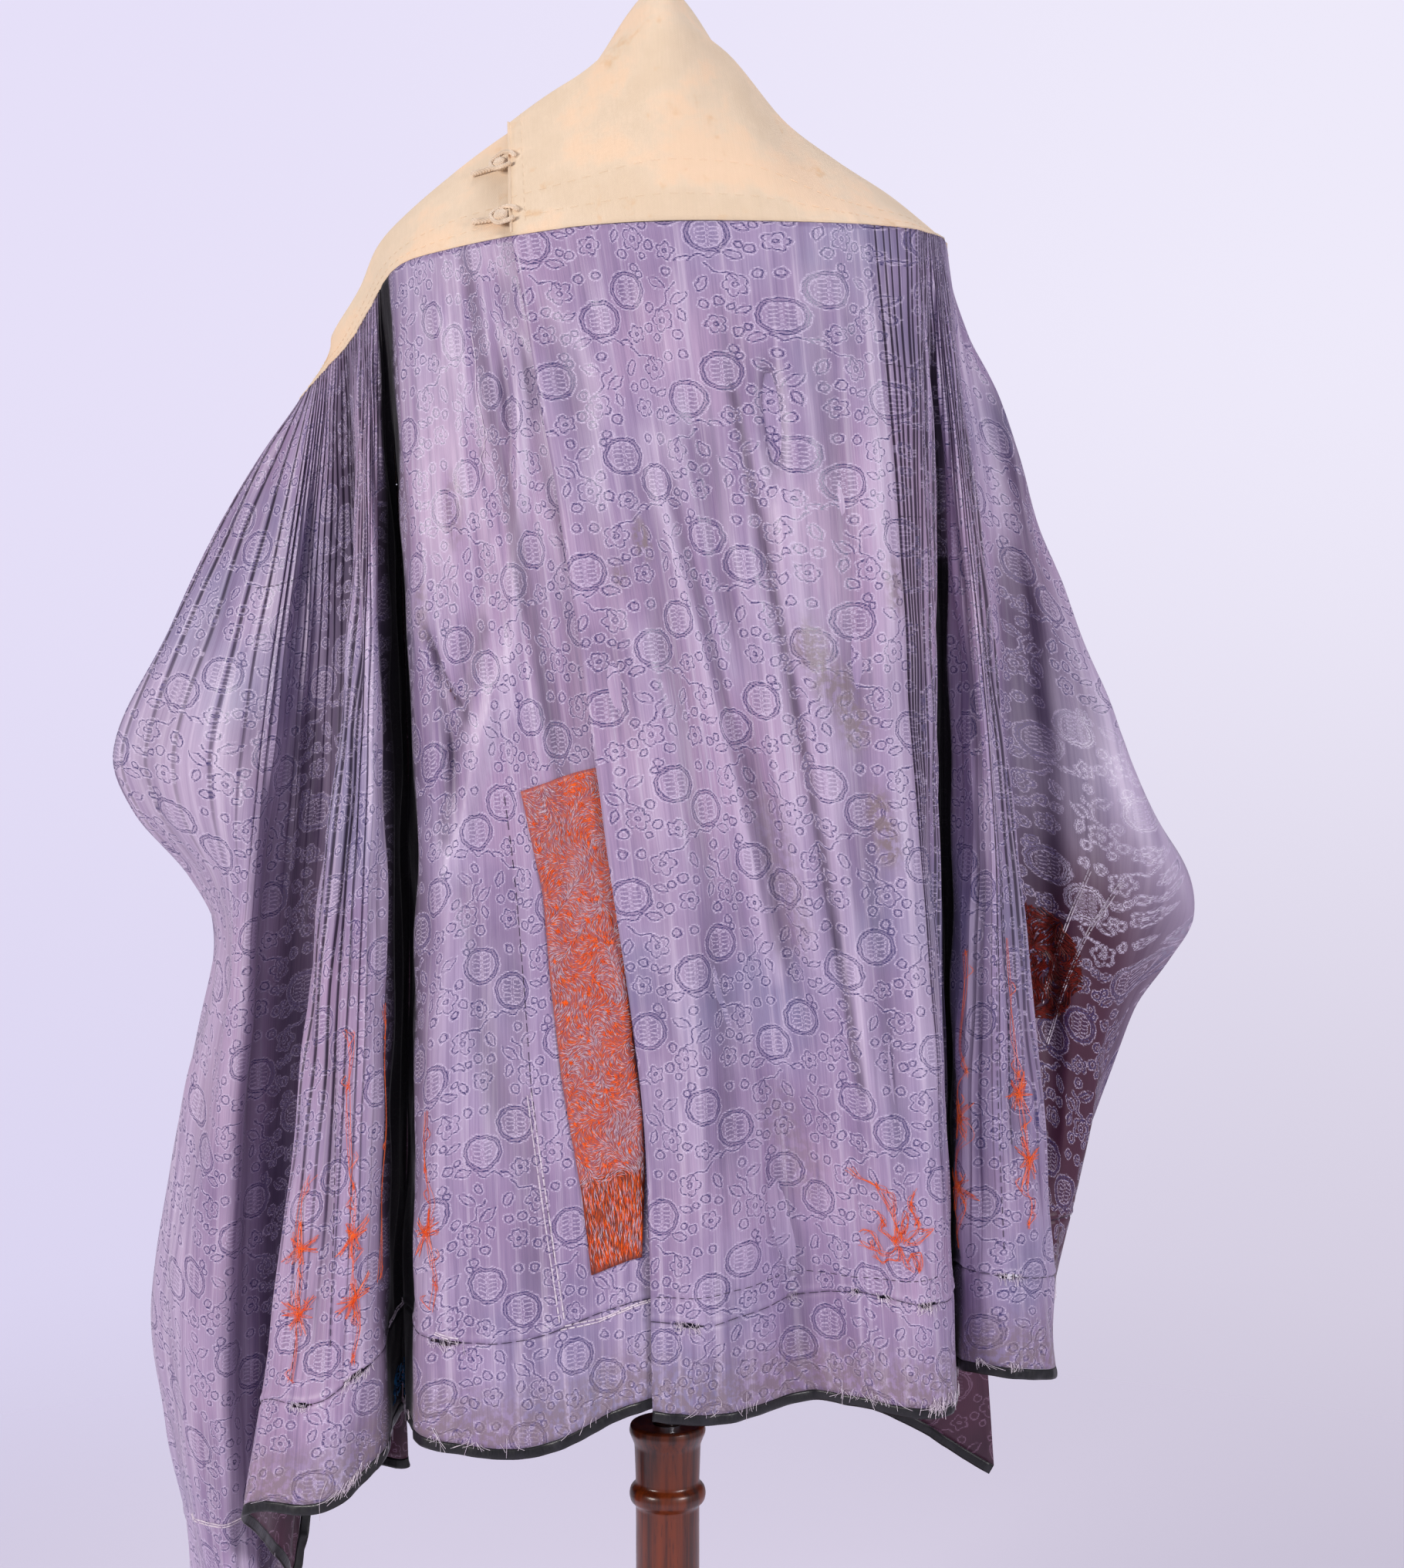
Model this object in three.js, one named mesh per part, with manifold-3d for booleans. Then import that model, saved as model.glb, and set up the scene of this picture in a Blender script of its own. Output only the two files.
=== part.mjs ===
// A Chinese wrap skirt of lilac silk damask on a cotton waistband, turned wrong side out and
// hung from the shoulders of a limbless dress form on a turned wooden stand.
// Millimetres, +Z up. The origin is the middle of the base's underside, on the column's axis.
// The buttoned opening of the skirt faces -Y.
import * as THREE from "three";
import { mergeVertices } from "three/addons/utils/BufferGeometryUtils.js";
import Module from "manifold-3d";

const wasm = await Module();
wasm.setup();

// Driving dimensions of the cloth
const SILK_WALL = 1.5;
const COTTON_WALL = 1.6;
const SEAM_GAP = 0.5;
const WAIST_GAP = 0.8;
const LAYER_GAP = 6;
const HEM_BINDING_HEIGHT = 8;
const HEM_GAP = 0.8;
const UNDER_HEM_RISE = 8;
const ROW_SHARES = [0, 0.05, 0.11, 0.18, 0.27, 0.34, 0.42, 0.5, 0.58, 0.68, 0.79, 0.9, 1];
const NARROW_PLEAT_DEPTH = 2.6;
const STITCHED_PLEAT_SHARE = 0.5;
const STITCHED_LENGTH_SHARE = 0.1;
const EDGE_STEP = 0.02;
const TEAR_REACH = 14;
const BAND_RIDGE_SHARE = 0.55;
const BAND_SHARES = [0, 0.2, 0.4, 0.52, 0.58, 0.78, 1];
const BAND_COLUMNS = 2;
const RIDGE_ROUNDING = 0.1;
const STRIP_COLUMNS = 5;
const MEDALLION_ROWS = 8;
const MEDALLION_COLUMNS = 6;
const KNOT_RADIUS = 5.5;
const KNOT_FLATNESS = 0.8;
const KNOT_FROM_EDGE = 0.12;
const CORD_RADIUS = 1.4;
const CORD_GAP = 0.6;
const TAIL_RADIUS = 1.8;
const LOOP_END = 13;
const APPLIED_WALL = 0.9;
const STRIP_LIFT = 0.8;
const MEDALLION_LIFT = 1.3;

// Driving dimensions of the stand
const BASE_RADIUS = 190;
const BASE_HEIGHT = 24;
const COLUMN_RADIUS = 24;
const COLUMN_COLLAR_RADIUS = 29;
const COLUMN_TOP = 470;
const ROD_RADIUS = 10;
const FORM_BOTTOM = 770;
const NECK_TOP = 1460;
const NECK_RADIUS = 36;
const NECK_LEAN = 12;
const FINIAL_TOP = 1517.2;
const TORSO_SIDES = 28;
const TORSO_SQUARENESS = 0.9;
const TURNED_SIDES = 24;
const COLUMN_FOOT_RADIUS = 36;
const RING_HEIGHT = 415;
const SOCKET_DEPTH = 40;
const CLEARANCE = 0.4;

const colour = {
  damask: 0xa996c4,
  cotton: 0xe6dcc0,
  binding: 0x1b1a22,
  embroidery: 0xc9512e,
  medallion: 0x7a1d14,
  wood: 0x6e2d12,
  steel: 0xb9b6b0,
  jersey: 0xd8d2c6,
};

const materials = Object.fromEntries(
  Object.entries(colour).map(([name, hex]) => [
    name,
    new THREE.MeshStandardMaterial({
      color: hex,
      roughness: name === "steel" ? 0.25 : name === "wood" ? 0.35 : 0.7,
      metalness: name === "steel" ? 1 : 0,
    }),
  ]),
);

// Smooth value at share t through values that stand at the given shares
function through(values, shares, t) {
  const last = values.length - 1;
  let i = 0;
  while (i < last - 1 && t > shares[i + 1]) i += 1;
  const slope = (k) => {
    const [before, after] = [Math.max(k - 1, 0), Math.min(k + 1, last)];
    return (values[after] - values[before]) / (shares[after] - shares[before]);
  };
  const span = shares[i + 1] - shares[i];
  const f = (t - shares[i]) / span;
  const [a, b] = [values[i], values[i + 1]];
  const [rise, fall] = [slope(i) * span, slope(i + 1) * span];
  return a + f * (rise + f * (3 * (b - a) - 2 * rise - fall + f * (2 * (a - b) + rise + fall)));
}

// The cloth is described by fold lines, each running from the waist seam (t = 0) to the hem (t = 1).
// x and y hold its values at the shares in at; seam and hem are its heights above the floor.
const QUARTERS = [0, 0.25, 0.5, 0.75, 1];
const foldPoint = ({ x, y, seam, hem, at = QUARTERS }, t) =>
  new THREE.Vector3(through(x, at, t), through(y, at, t), THREE.MathUtils.lerp(seam, hem, t));

// Plain overlapping panel, from its free edge to the first pleat
const plainPanel = [
  { name: "free edge", seam: 1352, hem: 530, x: [-105, -69, -41, -15, -9], y: [-100, -135, -141, -148, -150] },
  { name: "swell", seam: 1359, hem: 529, x: [-52, -16, 15, 31, 37], y: [-106, -142, -151, -155, -156] },
  { name: "hollow", seam: 1362, hem: 531, x: [5, 31, 61, 86, 103], y: [-110, -139, -137, -122, -108] },
  { name: "crease", seam: 1362, hem: 532, x: [63, 84, 106, 129, 147], y: [-108, -142, -149, -141, -131] },
  { name: "right swell", seam: 1361, hem: 530, x: [115, 132, 144, 162, 180], y: [-98, -132, -142, -146, -146] },
  { name: "first pleat", seam: 1360, hem: 531, x: [141, 161, 176, 192, 201], y: [-88, -120, -132, -137, -139] },
];

// Pleated gore on the right: a run of narrow pleats, a deep groove and a narrow pleated lobe
const rightGore = [
  plainPanel.at(-1),
  { name: "pleat corner", seam: 1357, hem: 532, x: [176, 181, 187, 197, 207], y: [-60, -100, -118, -123, -128] },
  { name: "groove", seam: 1355, hem: 540, x: [184, 195, 200, 205, 211], y: [-48, -60, -58, -54, -50] },
  { name: "lobe left", seam: 1354, hem: 550, x: [189, 204, 216, 212, 216], y: [-39, -76, -92, -97, -97] },
  { name: "lobe middle", seam: 1353, hem: 549, x: [193, 213, 232, 239, 250], y: [-30, -80, -102, -110, -112] },
  { name: "lobe right", seam: 1352, hem: 539, x: [196, 223, 247, 269, 284], y: [-21, -60, -75, -80, -76] },
  { name: "side groove", seam: 1350, hem: 541, x: [199, 216, 236, 254, 266], y: [-12, -16, -14, -8, 0] },
];

// Right face panel: swings out at the side and ends in a free edge
const rightFacePanel = [
  rightGore.at(-1),
  { name: "valley", seam: 1335, hem: 545, x: [203, 240, 262, 280, 283], y: [10, 22, 40, 52, 40] },
  {
    name: "front ridge", seam: 1308, hem: 548,
    at: [0, 0.09, 0.19, 0.35, 0.5, 0.75, 1],
    x: [199, 241, 262, 286, 303, 304, 292],
    y: [36, 26, 24, 28, 34, 46, 58],
  },
  { name: "outer ridge", seam: 1271, hem: 550, x: [183, 292, 352, 330, 298], y: [64, 58, 52, 68, 82] },
  {
    name: "free edge", seam: 1214, hem: 556,
    at: [0, 0.15, 0.3, 0.42, 0.5, 0.56, 0.61, 0.67, 0.8, 0.92, 1],
    x: [84, 176, 274, 349, 388, 396, 379, 354, 328, 298, 284],
    y: [103, 97, 92, 82, 66, 62, 62, 66, 78, 92, 100],
  },
];

// Face panel under the overlap: its visible part, from the overlap to the left groove
const facePanelShown = [
  { name: "middle", seam: 1343, hem: 503, x: [-150, -129, -108, -102, -94], y: [-78, -121, -130, -139, -149] },
  { name: "face edge", seam: 1335, hem: 504, x: [-180, -168, -152, -155, -150], y: [-61, -112, -128, -136, -144] },
  { name: "turn", seam: 1329, hem: 506, x: [-190, -178, -167, -171, -174], y: [-54, -100, -118, -127, -134] },
  { name: "groove", seam: 1319, hem: 508, x: [-199, -188, -184, -188, -194], y: [-45, -52, -60, -62, -65] },
];

// Narrow pleated lobe left of the face panel
const leftLobe = [
  facePanelShown.at(-1),
  { name: "lobe right", seam: 1309, hem: 480, x: [-205, -200, -197, -203, -210], y: [-38, -86, -106, -113, -116] },
  { name: "lobe middle", seam: 1298, hem: 455, x: [-212, -210, -221, -234, -248], y: [-32, -96, -119, -126, -129] },
  { name: "lobe left", seam: 1287, hem: 444, x: [-219, -222, -248, -271, -303], y: [-26, -76, -95, -100, -101] },
  { name: "side groove", seam: 1276, hem: 356, x: [-227, -222, -238, -260, -288], y: [-19, -22, -18, -8, 0] },
];

// Pleated gore on the left: fans out from the shoulder into a broad wing and round to the back
const leftGore = [
  leftLobe.at(-1),
  { name: "slope", seam: 1262, hem: 306, x: [-241, -262, -283, -296, -304], y: [-8, -2, 2, 6, 8] },
  { name: "ridge", seam: 1250, hem: 288, x: [-253, -291, -314, -332, -326], y: [3, -26, -31, -27, -14] },
  {
    name: "wing tip", seam: 1232, hem: 284,
    at: [0, 0.04, 0.09, 0.17, 0.27, 0.32, 0.37, 0.42, 0.53, 0.61, 0.72, 0.82, 0.9, 1],
    x: [-268, -297, -327, -366, -409, -396, -356, -338, -362, -376, -391, -381, -368, -362],
    y: [25, 28, 31, 35, 38, 38, 38, 36, 34, 34, 34, 30, 26, 24],
  },
  { name: "behind tip", seam: 1200, hem: 284, x: [-266, -322, -346, -352, -340], y: [54, 80, 92, 90, 76] },
  { name: "tail edge", seam: 1184, hem: 300, x: [-255, -304, -322, -322, -304], y: [72, 104, 120, 114, 100] },
  { name: "behind tail", seam: 1176, hem: 404, x: [-236, -272, -286, -286, -276], y: [86, 122, 134, 128, 116] },
  { name: "back fold", seam: 1170, hem: 408, x: [-212, -226, -220, -212, -206], y: [99, 118, 116, 108, 98] },
  { name: "under fold", seam: 1168, hem: 425, x: [-186, -232, -238, -240, -238], y: [107, 136, 144, 142, 134] },
];

// Plain panel across the back, ending in a free edge at the right
const backPanel = [
  leftGore.at(-1),
  { name: "left swell", seam: 1177, hem: 445, x: [-104, -132, -140, -141, -140], y: [121, 146, 156, 156, 150] },
  { name: "hollow", seam: 1195, hem: 449, x: [-4, -22, -30, -31, -30], y: [125, 150, 148, 143, 138] },
  { name: "right swell", seam: 1216, hem: 451, x: [92, 88, 80, 72, 66], y: [119, 146, 161, 166, 161] },
  { name: "right hollow", seam: 1231, hem: 441, x: [136, 150, 160, 165, 166], y: [107, 131, 141, 141, 136] },
  { name: "free edge", seam: 1241, hem: 393, x: [160, 190, 214, 240, 257], y: [98, 120, 126, 123, 121] },
];

// The hidden end of the under layer follows the plain panel's lines, set inwards by the layer gap
const hiddenEnd = plainPanel
  .slice(0, 5)
  .reverse()
  .map((line) => ({
    ...line,
    name: "under " + line.name,
    hem: line.hem + UNDER_HEM_RISE,
    y: line.y.map((y) => y + LAYER_GAP),
  }));

// The skirt is two lengths of pieced cloth on one waistband. The outer length starts at the free
// edge of the front overlap and runs to the right; the under length starts beneath that overlap
// and runs to the left and across the back.
const outerLength = [...plainPanel, ...rightGore.slice(1), ...rightFacePanel.slice(1)];
const underLength = [
  ...hiddenEnd,
  ...facePanelShown,
  ...leftLobe.slice(1),
  ...leftGore.slice(1),
  ...backPanel.slice(1),
];

// A surface (place, t) over a list of fold lines; place counts fold lines from the first
function surfaceOver(lines) {
  const curves = new Map();
  return (place, t) => {
    if (!curves.has(t)) {
      const points = lines.map((line) => foldPoint(line, t));
      curves.set(t, new THREE.CatmullRomCurve3(points, false, "centripetal"));
    }
    return curves.get(t).getPoint(place / (lines.length - 1));
  };
}

// Unit normal of a surface, on the side away from the wearer; turn is +1 or -1 to suit the
// direction in which its fold lines are listed
function normalOf(surface, last, place, t, turn) {
  const d = 0.01;
  const along = surface(Math.min(place + d, last), t).sub(surface(Math.max(place - d, 0), t));
  const down = surface(place, Math.min(t + d, 1)).sub(surface(place, Math.max(t - d, 0)));
  return along.cross(down).normalize().multiplyScalar(turn);
}

// A closed wall between an outer and an inner grid of points (rows of columns)
function wall(outer, inner) {
  const rows = outer.length;
  const columns = outer[0].length;
  const positions = [];
  for (const side of [outer, inner])
    for (const row of side) for (const p of row) positions.push(p.x, p.y, p.z);
  const index = [];
  const at = (side, r, c) => (side * rows + r) * columns + c;
  const quad = (a, b, c, d) => index.push(a, b, c, a, c, d);
  for (let r = 0; r < rows - 1; r++)
    for (let c = 0; c < columns - 1; c++) {
      quad(at(0, r, c), at(0, r + 1, c), at(0, r + 1, c + 1), at(0, r, c + 1));
      quad(at(1, r, c), at(1, r, c + 1), at(1, r + 1, c + 1), at(1, r + 1, c));
    }
  for (let c = 0; c < columns - 1; c++) {
    const [first, final] = [0, rows - 1];
    quad(at(0, first, c), at(0, first, c + 1), at(1, first, c + 1), at(1, first, c));
    quad(at(0, final, c + 1), at(0, final, c), at(1, final, c), at(1, final, c + 1));
  }
  for (let r = 0; r < rows - 1; r++) {
    const [first, final] = [0, columns - 1];
    quad(at(0, r + 1, first), at(0, r, first), at(1, r, first), at(1, r + 1, first));
    quad(at(0, r, final), at(0, r + 1, final), at(1, r + 1, final), at(1, r, final));
  }
  return facingOut(positions, index);
}

// An indexed geometry whose triangles are turned, if need be, so that its volume is positive
function facingOut(positions, index) {
  const point = (i) => new THREE.Vector3().fromArray(positions, 3 * i);
  let volume = 0;
  for (let i = 0; i < index.length; i += 3)
    volume += point(index[i]).dot(point(index[i + 1]).cross(point(index[i + 2])));
  if (volume < 0)
    for (let i = 0; i < index.length; i += 3)
      [index[i + 1], index[i + 2]] = [index[i + 2], index[i + 1]];
  const geometry = new THREE.BufferGeometry();
  geometry.setAttribute("position", new THREE.Float32BufferAttribute(positions, 3));
  geometry.setIndex(index);
  geometry.computeVertexNormals();
  return geometry;
}

const skirt = new THREE.Group();
const stand = new THREE.Group();

function addMesh(group, name, geometry, material) {
  const mesh = new THREE.Mesh(geometry, materials[material]);
  mesh.name = name;
  group.add(mesh);
}

// Depth of the narrow pleats down the cloth: stitched at the waist, then opening out
const pleatFade = (t, fade) =>
  THREE.MathUtils.lerp(STITCHED_PLEAT_SHARE, 1, Math.min(1, t / STITCHED_LENGTH_SHARE)) *
  (1 - THREE.MathUtils.smoothstep(t, fade.start, fade.end));

// One cloth panel. columns gives the number of columns in each span from one fold line to the next.
function addPanel(name, length, panel) {
  const { lines, turn } = length;
  const { from, columns, pleats, fade, tears = [] } = panel;
  const last = lines.length - 1;
  const surface = surfaceOver(lines);
  const places = columns.flatMap((count, span) =>
    Array.from({ length: count }, (_, i) => from + span + i / count),
  );
  places.push(from + columns.length);
  const grid = (depth) =>
    ROW_SHARES.map((t) =>
      places.map((place, i) => {
        const point = surface(place, t);
        const seamHeight = point.z;
        const inwards = normalOf(surface, last, place, t, turn).negate();
        const fold = pleats && i % 2 === 1 ? pleats * pleatFade(t, fade) : 0;
        if (i === 0 || i === places.length - 1) {
          const neighbour = surface(i === 0 ? place + EDGE_STEP : place - EDGE_STEP, t);
          point.addScaledVector(neighbour.sub(point).normalize(), SEAM_GAP / 2);
        }
        point.addScaledVector(inwards, depth + fold);
        return t === 0 ? point.setZ(seamHeight) : point;
      }),
    );
  const outer = grid(0);
  const inner = grid(SILK_WALL);
  const cloth = wall(outer, inner);
  addMesh(skirt, name, tears.length ? torn(cloth, surface, last, turn, tears) : cloth, "damask");
  addHemBinding(name + "_hem_binding", outer.at(-2), outer.at(-1), inner.at(-1));
}

// Black satin binding that follows the hem's raw edge, square to it in the plane of the cloth
function addHemBinding(name, rowAbove, outerEdge, innerEdge) {
  const away = outerEdge.map((point, i) => {
    const down = point.clone().sub(rowAbove[i]).normalize();
    if (i === 0 || i === outerEdge.length - 1) return down;
    const tangent = outerEdge[i + 1].clone().sub(outerEdge[i - 1]).normalize();
    return down.addScaledVector(tangent, -down.dot(tangent)).normalize();
  });
  const moved = (edge, drop) => edge.map((p, i) => p.clone().addScaledVector(away[i], drop));
  const drops = [HEM_GAP, HEM_BINDING_HEIGHT];
  addMesh(
    skirt,
    name,
    wall(drops.map((drop) => moved(outerEdge, drop)), drops.map((drop) => moved(innerEdge, drop))),
    "binding",
  );
}

function solidOf(geometry) {
  const mesh = new wasm.Mesh({
    numProp: 3,
    vertProperties: new Float32Array(geometry.getAttribute("position").array),
    triVerts: new Uint32Array(geometry.index.array),
  });
  return new wasm.Manifold(mesh);
}

function geometryOf(solid) {
  const mesh = solid.getMesh();
  const geometry = new THREE.BufferGeometry();
  geometry.setAttribute("position", new THREE.BufferAttribute(mesh.vertProperties, 3));
  geometry.setIndex(new THREE.BufferAttribute(mesh.triVerts, 1));
  geometry.computeVertexNormals();
  return geometry;
}

// Tears along the lower seam: a six-sided gash cut straight through the wall
function torn(cloth, surface, last, turn, tears) {
  let solid = solidOf(cloth);
  for (const { place, t, width, height, tilt } of tears) {
    const outline = new THREE.Shape([
      new THREE.Vector2(-width / 2, 0),
      new THREE.Vector2(-width / 4, -height / 2),
      new THREE.Vector2(width / 5, -height / 2),
      new THREE.Vector2(width / 2, 0),
      new THREE.Vector2(width / 3, height / 2),
      new THREE.Vector2(-width / 5, height / 2),
    ]);
    const gash = new THREE.ExtrudeGeometry(outline, { depth: TEAR_REACH, bevelEnabled: false });
    gash.translate(0, 0, -TEAR_REACH / 2);
    gash.rotateZ(THREE.MathUtils.degToRad(tilt));
    const out = normalOf(surface, last, place, t, turn);
    const right = new THREE.Vector3(0, 0, 1).cross(out).normalize();
    const up = out.clone().cross(right);
    gash.applyMatrix4(
      new THREE.Matrix4().makeBasis(right, up, out).setPosition(surface(place, t)),
    );
    gash.deleteAttribute("uv");
    gash.deleteAttribute("normal");
    solid = solid.subtract(solidOf(mergeVertices(gash)));
  }
  return geometryOf(solid);
}

const outerCloth = { lines: outerLength, turn: -1 };
const underCloth = { lines: underLength, turn: 1 };

const placeOf = (lines, line) => lines.indexOf(line);

addPanel("front_right_panel", outerCloth, {
  from: 0,
  columns: [3, 3, 3, 3, 3],
  tears: [
    { place: 0.6, t: 0.921, width: 20, height: 6, tilt: -2 },
    { place: 1.9, t: 0.914, width: 6, height: 5, tilt: 0 },
    { place: 2.9, t: 0.903, width: 6, height: 5, tilt: 0 },
    { place: 3.4, t: 0.905, width: 9, height: 5, tilt: 4 },
    { place: 4.45, t: 0.909, width: 22, height: 6, tilt: 2 },
  ],
});
addPanel("right_pleated_gore", outerCloth, {
  from: placeOf(outerLength, rightGore[0]),
  columns: [10, 6, 4, 6, 6, 4],
  pleats: NARROW_PLEAT_DEPTH,
  fade: { start: 0.55, end: 1 },
  tears: [{ place: 9.0, t: 0.916, width: 16, height: 5, tilt: 3 }],
});
addPanel("right_face_panel", outerCloth, {
  from: placeOf(outerLength, rightFacePanel[0]),
  columns: [4, 4, 4, 5],
});
addPanel("front_left_panel", underCloth, {
  from: 0,
  columns: [2, 2, 2, 2, 3, 3, 3, 3],
  tears: [{ place: 6.1, t: 0.912, width: 22, height: 5, tilt: -4 }],
});
addPanel("left_pleated_lobe", underCloth, {
  from: placeOf(underLength, leftLobe[0]),
  columns: [4, 6, 6, 4],
  pleats: NARROW_PLEAT_DEPTH,
  fade: { start: 0.6, end: 1 },
  tears: [
    { place: 9.4, t: 0.905, width: 22, height: 6, tilt: 3 },
    { place: 10.35, t: 0.913, width: 13, height: 5, tilt: -3 },
  ],
});
addPanel("left_pleated_gore", underCloth, {
  from: placeOf(underLength, leftGore[0]),
  columns: [8, 8, 8, 3, 3, 2, 2, 2],
  pleats: NARROW_PLEAT_DEPTH,
  fade: { start: 0.12, end: 0.5 },
});
addPanel("back_panel", underCloth, {
  from: placeOf(underLength, backPanel[0]),
  columns: [3, 3, 3, 2, 3],
});

// Waistband: one cotton strip sewn round both lengths of cloth. Each rib starts at the waist seam
// of a fold line, turns over the shoulders at ridge and ends at the strip's upper edge.
const bandRibs = [
  { line: [outerLength, "free edge"], ridge: [-111, -14, 1434], edge: [-112, 41, 1411] },
  { line: [outerLength, "swell"], ridge: [-66, -22, 1463], edge: [-66, 12, 1452] },
  { line: [outerLength, "hollow"], ridge: [-2, -46, 1498], edge: [-3, -12, 1528] },
  { line: [outerLength, "crease"], ridge: [40, -27, 1487], edge: [40, 2, 1478] },
  { line: [outerLength, "right swell"], ridge: [86, -24, 1432], edge: [84, 38, 1410] },
  { line: [outerLength, "first pleat"], ridge: [118, -20, 1408], edge: [112, 60, 1384] },
  { line: [outerLength, "pleat corner"], ridge: [156, -14, 1385], edge: [136, 92, 1348] },
  { line: [outerLength, "lobe middle"], ridge: [178, -8, 1367], edge: [147, 104, 1332] },
  { line: [outerLength, "side groove"], ridge: [196, 14, 1351], edge: [144, 112, 1338] },
  { line: [outerLength, "valley"], ridge: [192, 58, 1344], edge: [134, 114, 1352] },
  { line: [outerLength, "front ridge"], ridge: [178, 80, 1334], edge: [120, 108, 1364] },
  { line: [outerLength, "outer ridge"], ridge: [154, 100, 1318], edge: [100, 101, 1372] },
  { line: [underLength, "right hollow"], ridge: [106, 114, 1302], edge: [69, 95, 1375] },
  { line: [underLength, "right swell"], ridge: [66, 118, 1296], edge: [42, 92, 1374] },
  { line: [underLength, "hollow"], ridge: [-6, 118, 1280], edge: [-8, 92, 1362] },
  { line: [underLength, "left swell"], ridge: [-86, 116, 1260], edge: [-62, 94, 1342] },
  { line: [underLength, "under fold"], ridge: [-148, 112, 1246], edge: [-100, 98, 1322] },
  { line: [underLength, "behind tail"], ridge: [-194, 104, 1246], edge: [-128, 100, 1312] },
  { line: [underLength, "tail edge"], ridge: [-206, 98, 1250], edge: [-134, 101, 1310] },
  { line: [underLength, "behind tip"], ridge: [-216, 88, 1260], edge: [-140, 102, 1308] },
  { line: [underLength, "wing tip"], ridge: [-226, 66, 1276], edge: [-142, 104, 1306] },
  { line: [underLength, "ridge"], ridge: [-236, 38, 1290], edge: [-138, 106, 1308] },
  { line: [underLength, "slope"], ridge: [-240, 14, 1284], edge: [-132, 106, 1312] },
  { line: [underLength, "side groove"], ridge: [-235, 2, 1294], edge: [-128, 102, 1320] },
  { line: [underLength, "lobe middle"], ridge: [-221, -3, 1318], edge: [-126, 96, 1332] },
  { line: [underLength, "groove"], ridge: [-208, -6, 1346], edge: [-126, 88, 1346] },
  { line: [underLength, "face edge"], ridge: [-186, -9, 1370], edge: [-128, 76, 1364] },
  { line: [underLength, "middle"], ridge: [-151, -11, 1400], edge: [-124, 60, 1386] },
  { line: [underLength, "under free edge"], ridge: [-110, -8, 1428], edge: [-112, 36, 1404] },
  { line: [underLength, "under swell"], ridge: [-66, -17, 1457], edge: [-66, 10, 1446] },
  { line: [underLength, "under hollow"], ridge: [-3, -46, 1480], edge: [-4, -36, 1498] },
  { line: [underLength, "under crease"], ridge: [41, -24, 1478], edge: [42, -2, 1470] },
  { line: [underLength, "under right swell"], ridge: [86, -20, 1426], edge: [84, 33, 1405] },
];

// Points up each rib: the flat face from seam to ridge, then the part that falls behind the ridge.
// Its lowest row follows the top of the cloth.
function bandSurface() {
  const clothTop = new Map([outerLength, underLength].map((lines) => [lines, surfaceOver(lines)]));
  const seamAt = (place) => {
    const rib = Math.min(Math.floor(place), bandRibs.length - 2);
    const [from, to] = [bandRibs[rib].line, bandRibs[rib + 1].line];
    const placeIn = ([lines, name]) => lines.findIndex((line) => line.name === name);
    if (from[0] === to[0])
      return clothTop.get(from[0])(THREE.MathUtils.lerp(placeIn(from), placeIn(to), place - rib), 0);
    const [start, end] = [from, to].map((line) => clothTop.get(line[0])(placeIn(line), 0));
    return start.lerp(end, place - rib);
  };
  const [ridges, edges] = ["ridge", "edge"].map((key) => {
    const points = bandRibs.map((rib) => new THREE.Vector3(...rib[key]));
    return new THREE.CatmullRomCurve3(points, false, "centripetal");
  });
  return (place, t) => {
    const share = place / (bandRibs.length - 1);
    const [seam, ridge, edge] = [seamAt(place), ridges.getPoint(share), edges.getPoint(share)];
    return t <= BAND_RIDGE_SHARE
      ? roundedRib(seam, ridge, edge, t / BAND_RIDGE_SHARE / 2)
      : roundedRib(seam, ridge, edge, 0.5 + (t - BAND_RIDGE_SHARE) / (1 - BAND_RIDGE_SHARE) / 2);
  };
}

// A rib that is straight near its ends and rounds over its ridge
function roundedRib(seam, ridge, edge, share) {
  const low = seam.clone().lerp(ridge, Math.min(1, share * 2));
  const high = ridge.clone().lerp(edge, Math.max(0, share * 2 - 1));
  const straight = share < 0.5 ? low : high;
  const sag = Math.max(0, 1 - Math.abs(share - 0.5) / RIDGE_ROUNDING);
  const beyond = ridge.clone().lerp(edge, RIDGE_ROUNDING);
  const middle = seam.clone().lerp(ridge, 1 - RIDGE_ROUNDING).lerp(beyond, 0.5);
  return straight.lerp(middle, 0.5 * sag * sag);
}

{
  const surface = bandSurface();
  const last = bandRibs.length - 1;
  const places = Array.from({ length: last * BAND_COLUMNS + 1 }, (_, i) => i / BAND_COLUMNS);
  const grid = (depth) =>
    BAND_SHARES.map((t) =>
      places.map((place) => {
        const inwards = normalOf(surface, last, place, t, 1).negate();
        const point = surface(place, t);
        const seamHeight = point.z + WAIST_GAP;
        point.addScaledVector(inwards, depth);
        return t === 0 ? point.setZ(seamHeight) : point;
      }),
    );
  addMesh(skirt, "waistband", wall(grid(0), grid(COTTON_WALL)), "cotton");
}

// A piece that lies on a panel, made from the panel's own points moved out. Its outline is a run
// of places across the panel for each share down it.
function appliedGrid(cloth, rows, columns, lift) {
  const surface = surfaceOver(cloth.lines);
  const last = cloth.lines.length - 1;
  return rows.map(({ t, left, right }) =>
    Array.from({ length: columns + 1 }, (_, i) => {
      const place = THREE.MathUtils.lerp(left, right, i / columns);
      const out = normalOf(surface, last, place, t, cloth.turn);
      return surface(place, t).addScaledVector(out, lift);
    }),
  );
}

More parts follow.
